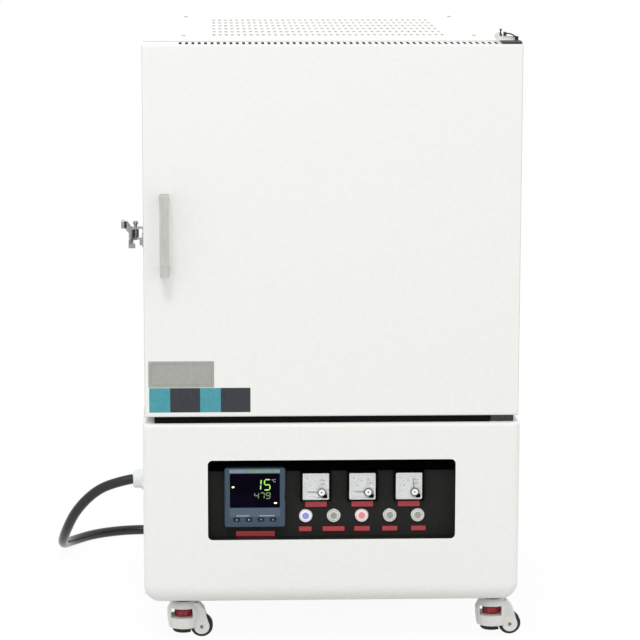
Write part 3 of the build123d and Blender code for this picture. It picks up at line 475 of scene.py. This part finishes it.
# The status strip and the key plate are printed foils on the bezel's face.
foil = 0.25 * MM
strip_low, strip_high = window_z + window_height / 2 + 1.0 * MM, window_z + window_height / 2 + 6.8 * MM
strip_split = controller.x - 17 * MM
foil_slate = moulded("foil_slate", ("#7A86A0", "#8491AA"), (0.3, 0.4), 1.5, 6.0, 0.01)
foil_green = moulded("foil_green", ("#6D8784", "#7F9A8E"), (0.3, 0.4), 1.5, 9.0, 0.01)
for name, left, right, material in (
        ("status_strip_left", controller.x - window_width / 2 - 0.6 * MM, strip_split, foil_slate),
        ("status_strip_right", strip_split, controller.x + window_width / 2, foil_green)):
    middle_x, middle_z = (left + right) / 2, (strip_low + strip_high) / 2
    raised(name, [moved(rounded(right - left, strip_high - strip_low, 0.5 * MM), middle_x, middle_z)],
           controller.y + 0.1 * MM, controller.y - foil, "cabinet", material)
key_low, key_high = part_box("controller_key_1")
key_row = (key_low.z + key_high.z) / 2
foil_top = window_z - window_height / 2 - 0.6 * MM
foil_bottom = key_row + 4.6 * MM
raised("key_foil", [moved(rounded(window_width + 1.2 * MM, foil_top - foil_bottom, 0.8 * MM),
                          controller.x, (foil_top + foil_bottom) / 2)],
       controller.y + 0.1 * MM, controller.y - foil, "cabinet", abs_plate_grey)
printed_white = moulded("printed_white", ("#B9C3D2", "#CBD4E0"), (0.4, 0.5), 1.5, 2.0, 0.01)
mark_z = key_row + 6.2 * MM
raised("key_foil_marks", [moved(rounded(width * MM, 0.9 * MM, 0.3 * MM), controller.x + x * MM, mark_z)
                          for x, width in ((-19.0, 20.0), (19.0, 24.0))],
       controller.y - foil + 0.05 * MM, controller.y - foil - 0.1 * MM, "cabinet", printed_white)

# Seven-segment figures lie just in front of the window, leaning as such displays do.
segment_ends = {"a": ((0, 2), (1, 2)), "b": ((1, 2), (1, 1)), "c": ((1, 1), (1, 0)), "d": ((0, 0), (1, 0)),
                "e": ((0, 1), (0, 0)), "f": ((0, 2), (0, 1)), "g": ((0, 1), (1, 1))}
lit_segments = {"1": "bc", "4": "bcfg", "5": "acdfg", "7": "abc", "9": "abcdfg"}
lean = 0.07


def segment(start, end, thickness):
    """Bar with pointed ends between two points, a little short of both."""
    ahead = (Vector(end) - Vector(start)).normalized()
    side = Vector((-ahead.y, ahead.x)) * thickness / 2
    first = Vector(start) + ahead * thickness * 0.25
    last = Vector(end) - ahead * thickness * 0.25
    tip = ahead * thickness * 0.5
    return [first, first + tip + side, last - tip + side, last, last - tip - side, first + tip - side]


def figures(name, text, right, base, width, height, pitch, thickness, material):
    outlines = []
    for place, figure in enumerate(reversed(text)):
        left = right - width - place * pitch
        for letter in lit_segments[figure]:
            ends = [(left + x * width + lean * z * height / 2, base + z * height / 2)
                    for x, z in segment_ends[letter]]
            outlines.append([tuple(p) for p in segment(*ends, thickness)])
    return raised(name, outlines, controller.y + 0.1 * MM, controller.y - 0.15 * MM,
                  "cabinet", material)


def lamp(name, code, strength):
    """A lit diode behind a diffuser: its own even glow, with the diffuser's faint grain."""
    made, tree, shader = surface(name, {"Emission Strength": strength, "IOR": 1.5, "Roughness": 0.4,
                                        "Emission Color": paint(code), "Base Color": paint(code)})
    place = add_node(tree, "ShaderNodeTexCoord")
    grain = add_node(tree, "ShaderNodeTexNoise", {"Vector": place.outputs["Object"], "Scale": 1 / (1.5 * MM)})
    bump = add_node(tree, "ShaderNodeBump", {"Height": grain.outputs["Fac"], "Distance": 0.02 * MM})
    tree.links.new(bump.outputs["Normal"], shader.inputs["Normal"])
    return made


green_diode = lamp("green_diode", "#8FC75A", 0.75)
pale_diode = lamp("pale_diode", "#7E9268", 0.3)
yellow_diode = lamp("yellow_diode", "#F4F6C4", 0.9)
figures("reading_figures", "15", controller.x + 23.4 * MM, controller.z + 12.4 * MM, 9.0 * MM, 16.7 * MM,
        14.5 * MM, 1.9 * MM, green_diode)
figures("setting_figures", "479", controller.x + 23.6 * MM, controller.z - 1.5 * MM, 6.2 * MM, 9.3 * MM,
        9.1 * MM, 1.2 * MM, pale_diode)
raised("status_lamps", [moved(rounded(4.2 * MM, 2.6 * MM, 1.2 * MM),
                              controller.x - 34.3 * MM, controller.z + 17.1 * MM),
                        moved(rounded(4.8 * MM, 2.2 * MM, 1.0 * MM),
                              controller.x + 32.5 * MM, controller.z - 8.8 * MM)],
       controller.y + 0.1 * MM, controller.y - 0.15 * MM, "cabinet", yellow_diode)


def lettered(name, words, x, z, front, height, body, material):
    """A short word or number printed on a face that looks to the front, as a thin solid."""
    words_curve = bpy.data.curves.new(name, "FONT")
    words_curve.body = words
    words_curve.size = height
    words_curve.align_x = "CENTER"
    words_curve.align_y = "CENTER"
    words_curve.extrude = 0.05 * MM
    flat = bpy.data.objects.new(name, words_curve)
    data = bpy.data.meshes.new_from_object(flat)
    bpy.data.objects.remove(flat)
    made = bpy.data.objects.new(name, data)
    made.matrix_world = Matrix.Translation((x, front, z)) @ Matrix.Rotation(pi / 2, 4, "X")
    bpy.context.collection.objects.link(made)
    data.materials.clear()
    data.materials.append(material)
    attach(made, body)
    return made


lettered("reading_unit", "°C", controller.x + 29.6 * MM, controller.z + 27.0 * MM, controller.y - 0.1 * MM,
         6.5 * MM, "cabinet", printed_white)

# Each key carries a small printed sign: a page, a loop and two arrow heads.
sign_size = 2.3 * MM
triangle_up = [(-1.0, -0.7), (1.0, -0.7), (0.0, 0.9)]
signs = (
    [(-0.7, -0.9), (0.7, -0.9), (0.7, 0.9), (-0.7, 0.9)],
    [(cos(2 * pi * step / 12), sin(2 * pi * step / 12)) for step in range(12)],
    [(-x, -z) for x, z in triangle_up],
    triangle_up,
)
for name, outline in zip(key_names, signs):
    low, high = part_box(name)
    scaled = [(x * sign_size / 2, z * sign_size / 2) for x, z in outline]
    key_middle = ((low.x + high.x) / 2, (low.z + high.z) / 2)
    key_width, key_height = high.x - low.x, high.z - low.z
    framed(f"{name}_surround", moved(rounded(key_width + 1.8 * MM, key_height + 1.8 * MM, 1.2 * MM), *key_middle),
           moved(rounded(key_width + 0.1 * MM, key_height + 0.1 * MM, 0.6 * MM), *key_middle),
           controller.y + 0.1 * MM, controller.y - 0.2 * MM, "cabinet", silicone_key)
    raised(f"{name}_sign", [moved(scaled, (low.x + high.x) / 2, (low.z + high.z) / 2)],
           low.y + 0.05 * MM, low.y - 0.12 * MM, name, printed_white)

# ---------------------------------------------------------------- moving-coil meters
# Three square meters: a black frame, a white band under a clear cover, whose brightness is painted highlight for
# the cover's lit edges, a printed scale, a round boss over the needle's pivot and a black stop in the corner.
abs_gloss_black, gloss_tree, gloss_shader = surface("abs_gloss_black", {"IOR": 1.54, "Specular IOR Level": 0.04})
gloss_place = add_node(gloss_tree, "ShaderNodeTexCoord")
gloss_grain = add_node(gloss_tree, "ShaderNodeTexNoise", {"Vector": gloss_place.outputs["Object"],
                                                          "Scale": 1 / (3.0 * MM)})
mottle(gloss_tree, gloss_shader, gloss_grain.outputs["Fac"], ("#020202", "#060606"), (0.22, 0.34), 0.02)
white_abs_and_painted_edge_highlight = moulded("white_abs_and_painted_edge_highlight", ("#F8F9F7", "#FCFDFB"), (0.3, 0.4), 1.54, 3.0, 0.01)
dial_enamel = moulded("dial_enamel", ("#F0F2F2", "#F5F7F7"), (0.5, 0.6), 1.5, 6.0, 0.005)
aluminium_black, needle_tree, needle_shader = surface("aluminium_black", {"Metallic": 0.2})
needle_place = add_node(needle_tree, "ShaderNodeTexCoord")
needle_grain = add_node(needle_tree, "ShaderNodeTexNoise", {"Vector": needle_place.outputs["Object"],
                                                            "Scale": 1 / (1.0 * MM)})
mottle(needle_tree, needle_shader, needle_grain.outputs["Fac"], ("#2C302E", "#3A3F3C"), (0.45, 0.6), 0.01)
dress(abs_gloss_black, "meter_cases")
dress(dial_enamel, "meter_dials")
dress(aluminium_black, "meter_needle_1", "meter_needle_2", "meter_needle_3")

clear_cover, cover_tree, cover_shader = surface("clear_polystyrene", {
    "Base Color": paint("#FFFFFF"), "Roughness": 0.02, "IOR": 1.2, "Transmission Weight": 1.0,
    "Specular IOR Level": 0.2})
cover_place = add_node(cover_tree, "ShaderNodeTexCoord")
cover_smear = add_node(cover_tree, "ShaderNodeTexNoise", {"Vector": cover_place.outputs["Object"],
                                                          "Scale": 1 / (12 * MM)})
cover_spread = add_node(cover_tree, "ShaderNodeMapRange", {"Value": cover_smear.outputs["Fac"],
                                                           "To Min": 0.01, "To Max": 0.05})
cover_tree.links.new(cover_spread.outputs["Result"], cover_shader.inputs["Roughness"])
dress(clear_cover, "meter_glasses")

dials_low, dials_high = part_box("meter_dials")
glass_low, glass_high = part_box("meter_glasses")
meter_width, meter_height = 41.7 * MM, dials_high.z - dials_low.z
meter_step = (dials_high.x - dials_low.x - meter_width) / 2
meter_z = (dials_low.z + dials_high.z) / 2
dial_face = dials_high.y - 2.0 * MM
pivot_right, pivot_drop = 9.3 * MM, 9.6 * MM
edge_highlight_width = 2.5 * MM
scale_radius = 25.5 * MM
scale_steps = 20
boss_radius, boss_line = 6.9 * MM, 1.8 * MM
scale_ink = moulded("scale_ink", ("#8E9794", "#A2AAA7"), (0.6, 0.7), 1.5, 2.0, 0.002)
boss_ink = moulded("boss_grey_green", ("#4E5A55", "#5F6B66"), (0.35, 0.5), 1.5, 2.0, 0.01)
label_lacquer = moulded("label_red_lacquer", ("#B8343D", "#C43F47"), (0.3, 0.42), 1.5, 3.5, 0.02)
panel_face = plate_low.y
meter_label_drop, controller_label_drop = 30.3 * MM, 61.5 * MM
full_scales = (60, 300, 450)
for number, full_scale in enumerate(full_scales, start=1):
    middle = dials_low.x + meter_width / 2 + (number - 1) * meter_step
    pivot_x, pivot_z = middle + pivot_right, meter_z - pivot_drop
    outer = moved(rounded(meter_width - 0.1 * MM, meter_height - 0.1 * MM, 2.5 * MM), middle, meter_z)
    inner = moved(rounded(meter_width - 2 * edge_highlight_width, meter_height - 2 * edge_highlight_width, 1.8 * MM), middle, meter_z)
    # The band is a real piece under the cover; its brighter white is painted highlight for the light on the cover's
    # edges.
    framed(f"meter_edge_highlight_band_{number}", outer, inner, dial_face - 0.05 * MM, glass_high.y + 0.05 * MM,
           "cabinet", white_abs_and_painted_edge_highlight)
    ticks = []
    for step in range(scale_steps + 1):
        swing = pi - pi / 2 * step / scale_steps
        out = Vector((cos(swing), sin(swing)))
        side = Vector((-out.y, out.x)) * 0.14 * MM
        long = 2.4 * MM if step % 5 == 0 else 1.3 * MM
        near = Vector((pivot_x, pivot_z)) + out * (scale_radius - long)
        far = Vector((pivot_x, pivot_z)) + out * scale_radius
        ticks.append([tuple(near - side), tuple(far - side), tuple(far + side), tuple(near + side)])
    for row, width in ((18.5, 7.5), (14.5, 8.5), (12.0, 8.0)):
        ticks.append(moved(rounded(width * MM, 0.9 * MM, 0.2 * MM), pivot_x + 1.6 * MM, pivot_z + row * MM))
    raised(f"meter_scale_{number}", ticks, dial_face + 0.05 * MM, dial_face - 0.06 * MM,
           "cabinet", scale_ink)
    for step in range(4):
        swing = pi - pi / 2 * step / 3
        reach = scale_radius - 5.2 * MM
        lettered(f"meter_{number}_figure_{step}", str(full_scale * step // 3), pivot_x + reach * cos(swing),
                 pivot_z + reach * sin(swing) + (1.4 * MM if step == 0 else 0.0), dial_face - 0.06 * MM,
                 3.0 * MM, "cabinet", scale_ink)
    lettered(f"meter_{number}_unit", "A" if number == 1 else "V", middle - 13.6 * MM, meter_z + 12.2 * MM,
             dial_face - 0.06 * MM, 5.0 * MM, "cabinet", scale_ink)
    boss = [(boss_radius * cos(2 * pi * step / 32), boss_radius * sin(2 * pi * step / 32)) for step in range(32)]
    bore = [(x * (1 - boss_line / boss_radius), z * (1 - boss_line / boss_radius)) for x, z in boss]
    framed(f"meter_boss_{number}", moved(boss, pivot_x, pivot_z), moved(bore, pivot_x, pivot_z),
           glass_low.y + 0.05 * MM, glass_low.y - 0.25 * MM, "cabinet", boss_ink)
    raised(f"meter_boss_cap_{number}", [moved(bore, pivot_x, pivot_z)], glass_low.y + 0.05 * MM,
           glass_low.y - 0.1 * MM, "cabinet", white_abs_and_painted_edge_highlight)
    cross = [moved(rounded(width * MM, height * MM, 0.2 * MM), pivot_x, pivot_z)
             for width, height in ((3.4, 0.9), (0.9, 3.4))]
    raised(f"meter_zero_screw_{number}", cross, glass_low.y + 0.05 * MM, glass_low.y - 0.2 * MM,
           "cabinet", boss_ink)
    stop = [(0.0, 0.0)] + [(-7.6 * MM * cos(pi / 2 * step / 8), 6.2 * MM * sin(pi / 2 * step / 8))
                           for step in range(9)]
    corner = (middle + meter_width / 2 - edge_highlight_width - 0.5 * MM, meter_z - meter_height / 2 + edge_highlight_width + 0.6 * MM)
    raised(f"meter_stop_{number}", [moved(stop, *corner)], glass_low.y + 0.04 * MM, glass_low.y - 0.25 * MM,
           "cabinet", abs_gloss_black)
    raised(f"meter_label_{number}", [moved(rounded(34.2 * MM, 9.6 * MM, 0.6 * MM),
                                           middle + 0.5 * MM, meter_z - meter_label_drop)],
           panel_face + 0.1 * MM, panel_face - 1.0 * MM, "cabinet", label_lacquer)
raised("controller_label", [moved(rounded(61.3 * MM, 8.0 * MM, 0.6 * MM),
                                  controller.x + 0.9 * MM, controller.z - controller_label_drop)],
       panel_face + 0.1 * MM, panel_face - 1.0 * MM, "cabinet", label_lacquer)

# ---------------------------------------------------------------- push buttons
# Anti-vandal buttons turned from stainless steel.  The first and third have a lit lens
# ring, blue and red, and every cap is slightly dished.
spun_stainless = brushed_steel("spun_stainless", ("#D6D6D1", "#F0F0EC"), (0.22, 0.38), 1.2, (1.0, 1.0, 1.0))
dull_stainless = brushed_steel("dull_stainless", ("#8E8E88", "#B2B2AB"), (0.3, 0.45), 1.5, (1.0, 1.0, 1.0))
blue_lens = lamp("blue_polycarbonate", "#E2E4F6", 0.35)
blue_core = lamp("blue_polycarbonate_core", "#8C90C4", 0.2)
red_lens = lamp("red_polycarbonate", "#F2CFD0", 0.3)
red_core = lamp("red_polycarbonate_core", "#D08C8E", 0.2)
dress(spun_stainless, "button_rings")
cap_dish = [(7.6 * MM, 0.0), (7.6 * MM, 0.30 * MM), (6.9 * MM, 0.55 * MM), (5.6 * MM, 0.45 * MM)]
cap_core = [(5.5 * MM, 0.0), (5.5 * MM, 0.35 * MM), (4.6 * MM, 0.25 * MM), (2.0 * MM, 0.15 * MM)]
finishes = {1: (blue_lens, blue_core, "blue_lens"), 2: (spun_stainless, dull_stainless, "stainless"),
            3: (red_lens, red_core, "red_lens"), 4: (spun_stainless, dull_stainless, "stainless"),
            5: (spun_stainless, dull_stainless, "stainless")}
label_widths = {1: 19.8, 2: 34.6, 3: 24.3, 4: 23.8, 5: 22.9}
button_label_drop = 21.7 * MM
label_shift = {1: -0.6, 2: 0.0, 3: 0.7, 4: 0.2, 5: 1.3}
for number, (lens, core, slot_name) in finishes.items():
    button = f"push_button_{number}"
    low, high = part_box(button)
    face = Vector(((low.x + high.x) / 2, low.y, (low.z + high.z) / 2))
    dress(lens, button)
    turned_piece(f"{button}_cap", cap_dish, [face + Vector((0, 0.05 * MM, 0))], Vector((0, -1, 0)),
                 button, lens, steps=40)
    turned_piece(f"{button}_core", cap_core, [face + Vector((0, -0.35 * MM, 0))], Vector((0, -1, 0)),
                 button, core, steps=40)
    raised(f"{button}_label", [moved(rounded(label_widths[number] * MM, 7.4 * MM, 0.6 * MM),
                                     face.x + label_shift[number] * MM, face.z - button_label_drop)],
           panel_face + 0.1 * MM, panel_face - 1.0 * MM, "cabinet", label_lacquer)

# ================================================================ upper casing
# The hot casing is folded from the same white-coated sheet; its cover plate is punched
# with rows of slots and held by a countersunk screw in each corner.
# The cover plate's coat is a slightly lighter copy of the white coat: painted light for the top face, which is lit
# from above.
top_coat_painted_light = powder_coat("white_powder_coat_top_painted_light", ("#F4F4F1", "#F8F8F5"), (0.45, 0.55), 7.0, 0.02)
dress(white_coat, "upper_casing")
dress(top_coat_painted_light, "top_cover")
inner_coat = powder_coat("grey_white_inner_coat", ("#D9D9D5", "#DFDFDB"), (0.5, 0.6), 6.0, 0.03)
dress(inner_coat, "front_frame", "door_liner")
top_low, top_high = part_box("top_cover")
corner_inset_x, corner_inset_y = 10.4 * MM, 15 * MM
corner_screws = [Vector((x, y, top_high.z))
                 for x in (top_low.x + corner_inset_x, top_high.x - corner_inset_x)
                 for y in (top_low.y + corner_inset_y, top_high.y - corner_inset_y)]
button_head = [(3.6 * MM, -0.1 * MM), (3.6 * MM, 0.5 * MM), (2.9 * MM, 1.3 * MM), (1.7 * MM, 1.6 * MM),
               (1.5 * MM, 0.7 * MM)]
turned_piece("cover_screws", button_head, corner_screws, Vector((0, 0, 1)), "cabinet",
             bright_stainless)

# ---------------------------------------------------------------- hot chamber
# Vacuum-formed ceramic fibre boards, hairpins of molybdenum disilicide and a cordierite
# hearth; all of it is behind the door and under the cover.
fibre_board = moulded("ceramic_fibre_board", ("#E9E6DC", "#F3F1E9"), (0.9, 0.98), 1.3, 6.0, 0.5)
disilicide = moulded("molybdenum_disilicide", ("#2E2C2D", "#474445"), (0.25, 0.4), 1.6, 4.0, 0.05)
cordierite = moulded("cordierite", ("#D9D2BF", "#E6E0D0"), (0.8, 0.9), 1.5, 3.0, 0.2)
dress(fibre_board, "fibre_lining", "door_fibre")
dress(disilicide, "heating_elements")
dress(cordierite, "ceramic_fittings")


def glass_rope():
    """Braided glass-fibre rope: off-white strands that cross in a fine diamond."""
    made, tree, shader = surface("glass_rope", {"IOR": 1.5, "Sheen Weight": 0.2})
    strand_mm = 4.0
    place = add_node(tree, "ShaderNodeTexCoord")
    lay = add_node(tree, "ShaderNodeMapping", {"Vector": place.outputs["Object"],
                                               "Rotation": (radians(45), radians(45), radians(45))})
    braid = add_node(tree, "ShaderNodeTexWave", {"Vector": lay.outputs["Vector"],
                                                 "Scale": 1 / (2 * pi * strand_mm * MM), "Distortion": 1.5,
                                                 "Detail": 2.0, "Detail Scale": 2.0})
    mottle(tree, shader, braid.outputs["Fac"], ("#CFCBBE", "#E8E5DA"), (0.85, 0.95), 0.5)
    return made


dress(glass_rope(), "door_gasket")

# ================================================================ door
# The door is a folded pan with a row of obround vents in its top edge.  A satin pull
# handle is screwed to it, and two bare adhesive foils lie in its lower left corner.
door_coat_and_painted_shade = powder_coat("white_powder_coat_door", ("#F1F2EF", "#F4F5F2"), (0.42, 0.5), 7.0, 0.015)
pan_low, pan_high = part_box("door_shell")
skin = 0.4 * MM
# Inside the pan's sheet the coat is near black: painted shade for the hollow door's dark inside, seen through the
# vents.
shaded_inside(door_coat_and_painted_shade, (pan_low.x + skin, pan_low.y + 1.2 * MM, pan_low.z + skin),
              (pan_high.x - skin, pan_high.y + 1 * MM, pan_high.z - skin), "#0B0B0B")
dress(door_coat_and_painted_shade, "door_shell")
satin_stainless = brushed_steel("satin_stainless", ("#BFBFBA", "#D4D4CE"), (0.3, 0.42), 1.5, (1.0, 1.0, 0.06))
dress(satin_stainless, "door_handle")
door_left, door_front, door_foot = pan_low.x, pan_low.y, pan_low.z
foil_thickness = 0.25 * MM
foil_grey = moulded("foil_silver_grey", ("#A2A29C", "#ACACA6"), (0.4, 0.5), 1.5, 5.0, 0.01)
foil_line = moulded("foil_line_grey", ("#8A8A84", "#969690"), (0.4, 0.5), 1.5, 5.0, 0.01)
foil_teal = moulded("foil_teal", ("#3F93A0", "#4BA0AC"), (0.35, 0.45), 1.5, 5.0, 0.01)
foil_slate_dark = moulded("foil_dark_slate", ("#22272E", "#2C3138"), (0.35, 0.45), 1.5, 5.0, 0.01)
plate_x = (door_left + 6.3 * MM, door_left + 108.7 * MM)
plate_z = (door_foot + 47.2 * MM, door_foot + 88.9 * MM)
plate_middle = ((plate_x[0] + plate_x[1]) / 2, (plate_z[0] + plate_z[1]) / 2)
plate_size = (plate_x[1] - plate_x[0], plate_z[1] - plate_z[0])
raised("door_foil_grey", [moved(rounded(*plate_size, 1.5 * MM), *plate_middle)],
       door_front + 0.05 * MM, door_front - foil_thickness, "door", foil_grey)
line_inset, line_width = 4.0 * MM, 0.7 * MM
outer = rounded(plate_size[0] - 2 * line_inset, plate_size[1] - 2 * line_inset, 2.5 * MM)
inner_inset = line_inset + line_width
inner = rounded(plate_size[0] - 2 * inner_inset, plate_size[1] - 2 * inner_inset, 1.8 * MM)
framed("door_foil_border", moved(outer, *plate_middle), moved(inner, *plate_middle),
       door_front - foil_thickness + 0.05 * MM, door_front - foil_thickness - 0.08 * MM,
       "door", foil_line)
strip_left = door_left + 7.3 * MM
strip_cuts = [strip_left + reach * MM for reach in (0.0, 32.7, 79.4, 111.7, 158.0)]
strip_z = (door_foot + 7.7 * MM, door_foot + 46.4 * MM)
for number, (left, right) in enumerate(zip(strip_cuts, strip_cuts[1:]), start=1):
    raised(f"door_foil_field_{number}",
           [moved(rounded(right - left, strip_z[1] - strip_z[0], 0.4 * MM), (left + right) / 2, sum(strip_z) / 2)],
           door_front + 0.05 * MM, door_front - foil_thickness, "door",
           foil_teal if number % 2 else foil_slate_dark)

# The hinge plates and their pins are blackened steel.
dress(blackened_steel, "hinge_brackets")

# ---------------------------------------------------------------- latch and side screws
# An over-centre catch in polished steel on the casing's left side, its keeper on the
# door, and two pairs of button-head screws below it.
polished_steel = brushed_steel("polished_steel", ("#8B898C", "#B5B3B5"), (0.1, 0.22), 2.5, (1.0, 1.0, 1.0))
dress(polished_steel, "latch_base", "latch_lever", "latch_hook", "latch_keeper")
casing_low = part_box("upper_casing")[0]
side_screw_heights = (0.5905, 0.5790, 0.5060, 0.4940)
side_screws = [Vector((casing_low.x, casing_low.y + 52 * MM, height)) for height in side_screw_heights]
turned_piece("side_screws", button_head, side_screws, Vector((-1, 0, 0)), "cabinet", bright_stainless)

# ---------------------------------------------------------------- door switch
# The interlock switch on the hinge plate: a zinc body with a steel actuating arm.
polycarbonate_pale = moulded("polycarbonate_pale", ("#E4E5E3", "#EDEEEC"), (0.3, 0.42), 1.58, 3.0, 0.02)
switch_low, switch_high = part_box("switch_body")
post_x, yoke_x = switch_low.x + 9.5 * MM, switch_low.x + 15.9 * MM
for middle, half in ((post_x, 2.0 * MM), (yoke_x, 2.2 * MM)):
    shaded_inside(polycarbonate_pale, (middle - half, switch_low.y - 0.001, switch_low.z + 6.1 * MM),
                  (middle + half, switch_high.y + 0.001, switch_high.z + 0.001), "#2A2B2B")
dress(polycarbonate_pale, "switch_body")
dress(polyurethane_black, "switch_arm")

# ================================================================ studio
# A wide white floor, a white surround and two soft boxes, for plain even light.
floor_half = 30.0
floor_mesh = bpy.data.meshes.new("studio_floor")
floor_mesh.from_pydata([(x * floor_half, y * floor_half, 0.0) for x, y in ((-1, -1), (1, -1), (1, 1), (-1, 1))],
                       [], [(0, 1, 2, 3)])
studio_floor = bpy.data.objects.new("studio_floor", floor_mesh)
bpy.context.collection.objects.link(studio_floor)
seamless_paper, paper_tree, paper_shader = surface("seamless_paper", {
    "Base Color": paint("#FFFFFF"), "Roughness": 0.95, "Specular IOR Level": 0.0})
shadow_share = 0.06


def shown_ray(tree):
    """1 for a ray from the lens, a mirror or a clear piece, and 0 for the light itself."""
    ray = add_node(tree, "ShaderNodeLightPath")
    seen = add_node(tree, "ShaderNodeMath", {0: ray.outputs["Is Camera Ray"], 1: ray.outputs["Is Glossy Ray"]},
                    operation="MAXIMUM")
    return add_node(tree, "ShaderNodeMath", {0: seen.outputs[0], 1: ray.outputs["Is Transmission Ray"]},
                    operation="MAXIMUM").outputs[0]


bounce = add_node(paper_tree, "ShaderNodeMix", {0: shown_ray(paper_tree), 6: paint("#D6D6D4"), 7: paint("#FFFFFF")},
                  data_type="RGBA")
paper_tree.links.new(bounce.outputs[2], paper_shader.inputs["Base Color"])
paper_glow = add_node(paper_tree, "ShaderNodeEmission", {"Color": (1.0, 1.0, 1.0, 1.0), "Strength": 1.0})
paper_share = add_node(paper_tree, "ShaderNodeMath", {0: shown_ray(paper_tree), 1: 1.0 - shadow_share},
                       operation="MULTIPLY")
paper_mix = add_node(paper_tree, "ShaderNodeMixShader", {0: paper_share.outputs[0], 1: paper_shader.outputs[0],
                                                         2: paper_glow.outputs[0]})
paper_tree.links.new(paper_mix.outputs[0], paper_tree.nodes["Material Output"].inputs["Surface"])
floor_mesh.materials.append(seamless_paper)

world = bpy.data.worlds.new("studio_surround")
world.use_nodes = True
bpy.context.scene.world = world
surround = world.node_tree
for old in list(surround.nodes):
    surround.nodes.remove(old)
ambient_strength = 0.95
level = add_node(surround, "ShaderNodeMapRange", {"Value": shown_ray(surround), "To Min": ambient_strength,
                                                  "To Max": 1.0})
glow = add_node(surround, "ShaderNodeBackground", {"Color": (1.0, 1.0, 1.0, 1.0), "Strength": level.outputs[0]})
add_node(surround, "ShaderNodeOutputWorld", {"Surface": glow.outputs[0]})


def soft_box(name, place, target, side, power):
    """A square soft box that looks at a point."""
    data = bpy.data.lights.new(name, "AREA")
    data.size = side
    data.energy = power
    made = bpy.data.objects.new(name, data)
    made.matrix_world = (Matrix.Translation(place)
                         @ (Vector(target) - Vector(place)).to_track_quat("-Z", "Y").to_matrix().to_4x4())
    bpy.context.collection.objects.link(made)


soft_box("key_box", (-0.62, -2.6, 3.2), (0.0, 0.0, 0.6), 0.8, 28.0)
soft_box("top_box", (0.0, 0.5, 3.8), (0.0, 0.3, 0.9), 2.0, 6.0)
